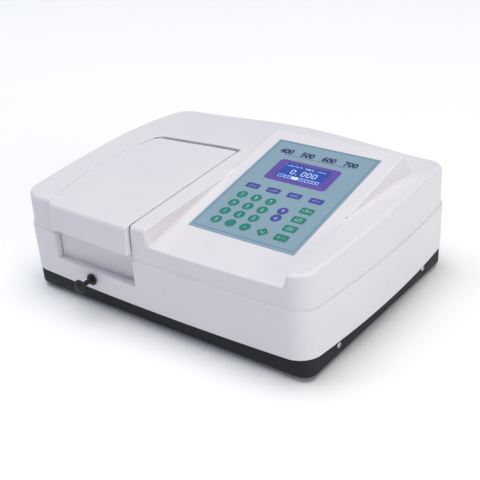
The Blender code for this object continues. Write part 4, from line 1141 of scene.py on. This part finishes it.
def dress_kept_pieces():
    """Better materials and softly bevelled edges for the pieces kept as the CAD made them."""
    for look, width, *nodes in (
            (BLACK, 0.0005, "lid_inner_panel"), (STEEL, 0.0003, "carriage_rail", "stepper_motor"),
            (ALUMINIUM, 0.0004, "power_supply", "optical_bench", "lamp_housing", "grating_turntable"),
            (ANODISED, 0.0004, "monochromator_box", "detector_box"), (BOARD, 0.0002, "main_board"),
            (quartz(), 0.0003, "halogen_lamp")):
        for kept in (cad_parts[node] for node in nodes):
            for place in kept.material_slots:
                place.material = look
            bevel = kept.modifiers.new("edges", "BEVEL")
            bevel.width, bevel.segments = width, 2
            bevel.limit_method, bevel.angle_limit = "ANGLE", radians(50)


make_film()
for key in KEYS:
    make_key(key)
for make in (make_screen, make_base, make_feet, make_side_screws, make_pull, make_hinge, make_chamber,
             make_rear_panel, make_inlet, make_switch, make_port, make_fan, dress_kept_pieces):
    make()


# --- stage, light and camera ---
def make_floor():
    bm = bmesh.new()
    bmesh.ops.create_grid(bm, x_segments=8, y_segments=8, size=12)
    mesh = bpy.data.meshes.new("floor")
    bm.to_mesh(mesh)
    bm.free()
    look = Look("pale_floor")
    tone = look.blend(look.spread(look.noise(3.0), 0.0, 1.0), (0.93, 0.93, 0.935), (0.95, 0.95, 0.955))
    mesh.materials.append(look.finish(tone, 0.8, glow=tone, Emission_Strength=0.02))
    add("floor", mesh)


def make_lights():
    """A warm overhead softbox, two weaker ones to its sides, and a cool room."""
    world = bpy.data.worlds.new("studio")
    bpy.context.scene.world = world
    world.use_nodes = True
    sky = world.node_tree.nodes["Background"]
    sky.inputs["Color"].default_value = (0.654, 0.760, 1.0, 1.0)
    sky.inputs["Strength"].default_value = 0.384
    for name, place, size, power, colour in (
            ("overhead", (0.9, 0.6, 6.4), 5.4, 266, (1.0, 0.915, 0.81)),
            ("right_fill", (7.1, -1.5, 1.9), 3.6, 165, (1.0, 0.945, 0.823)),
            ("left_fill", (-2.8, -0.9, 6.1), 4.2, 139, (0.93, 1.0, 1.0))):
        data = bpy.data.lights.new(name, "AREA")
        data.size, data.energy, data.color = size, power, colour
        light = bpy.data.objects.new(name, data)
        light.location = place
        light.rotation_euler = (Vector((0, 0, 0.1)) - light.location).to_track_quat("-Z", "Y").to_euler()
        bpy.context.scene.collection.objects.link(light)


def make_camera():
    """The viewpoint of a product picture: from the front right, above, a little rolled."""
    azimuth, elevation, roll = radians(38.3664), radians(27.4878), radians(-3.5766)
    back = Vector((sin(azimuth) * cos(elevation), -cos(azimuth) * cos(elevation), sin(elevation)))
    right = (-back).cross(Vector((0, 0, 1))).normalized()
    up = right.cross(-back)
    across = right * cos(roll) + up * sin(roll)
    upward = up * cos(roll) - right * sin(roll)
    data = bpy.data.cameras.new("camera")
    data.lens, data.sensor_width = 69.04, 36.0
    camera = bpy.data.objects.new("camera", data)
    turn = Matrix((across, upward, back)).transposed().to_4x4()
    camera.matrix_world = shift(0.70055, -0.88126 + SET_BACK, 0.63771) @ turn
    bpy.context.scene.collection.objects.link(camera)
    bpy.context.scene.camera = camera


make_floor()
make_lights()
make_camera()
bpy.context.scene.view_settings.view_transform = "Standard"
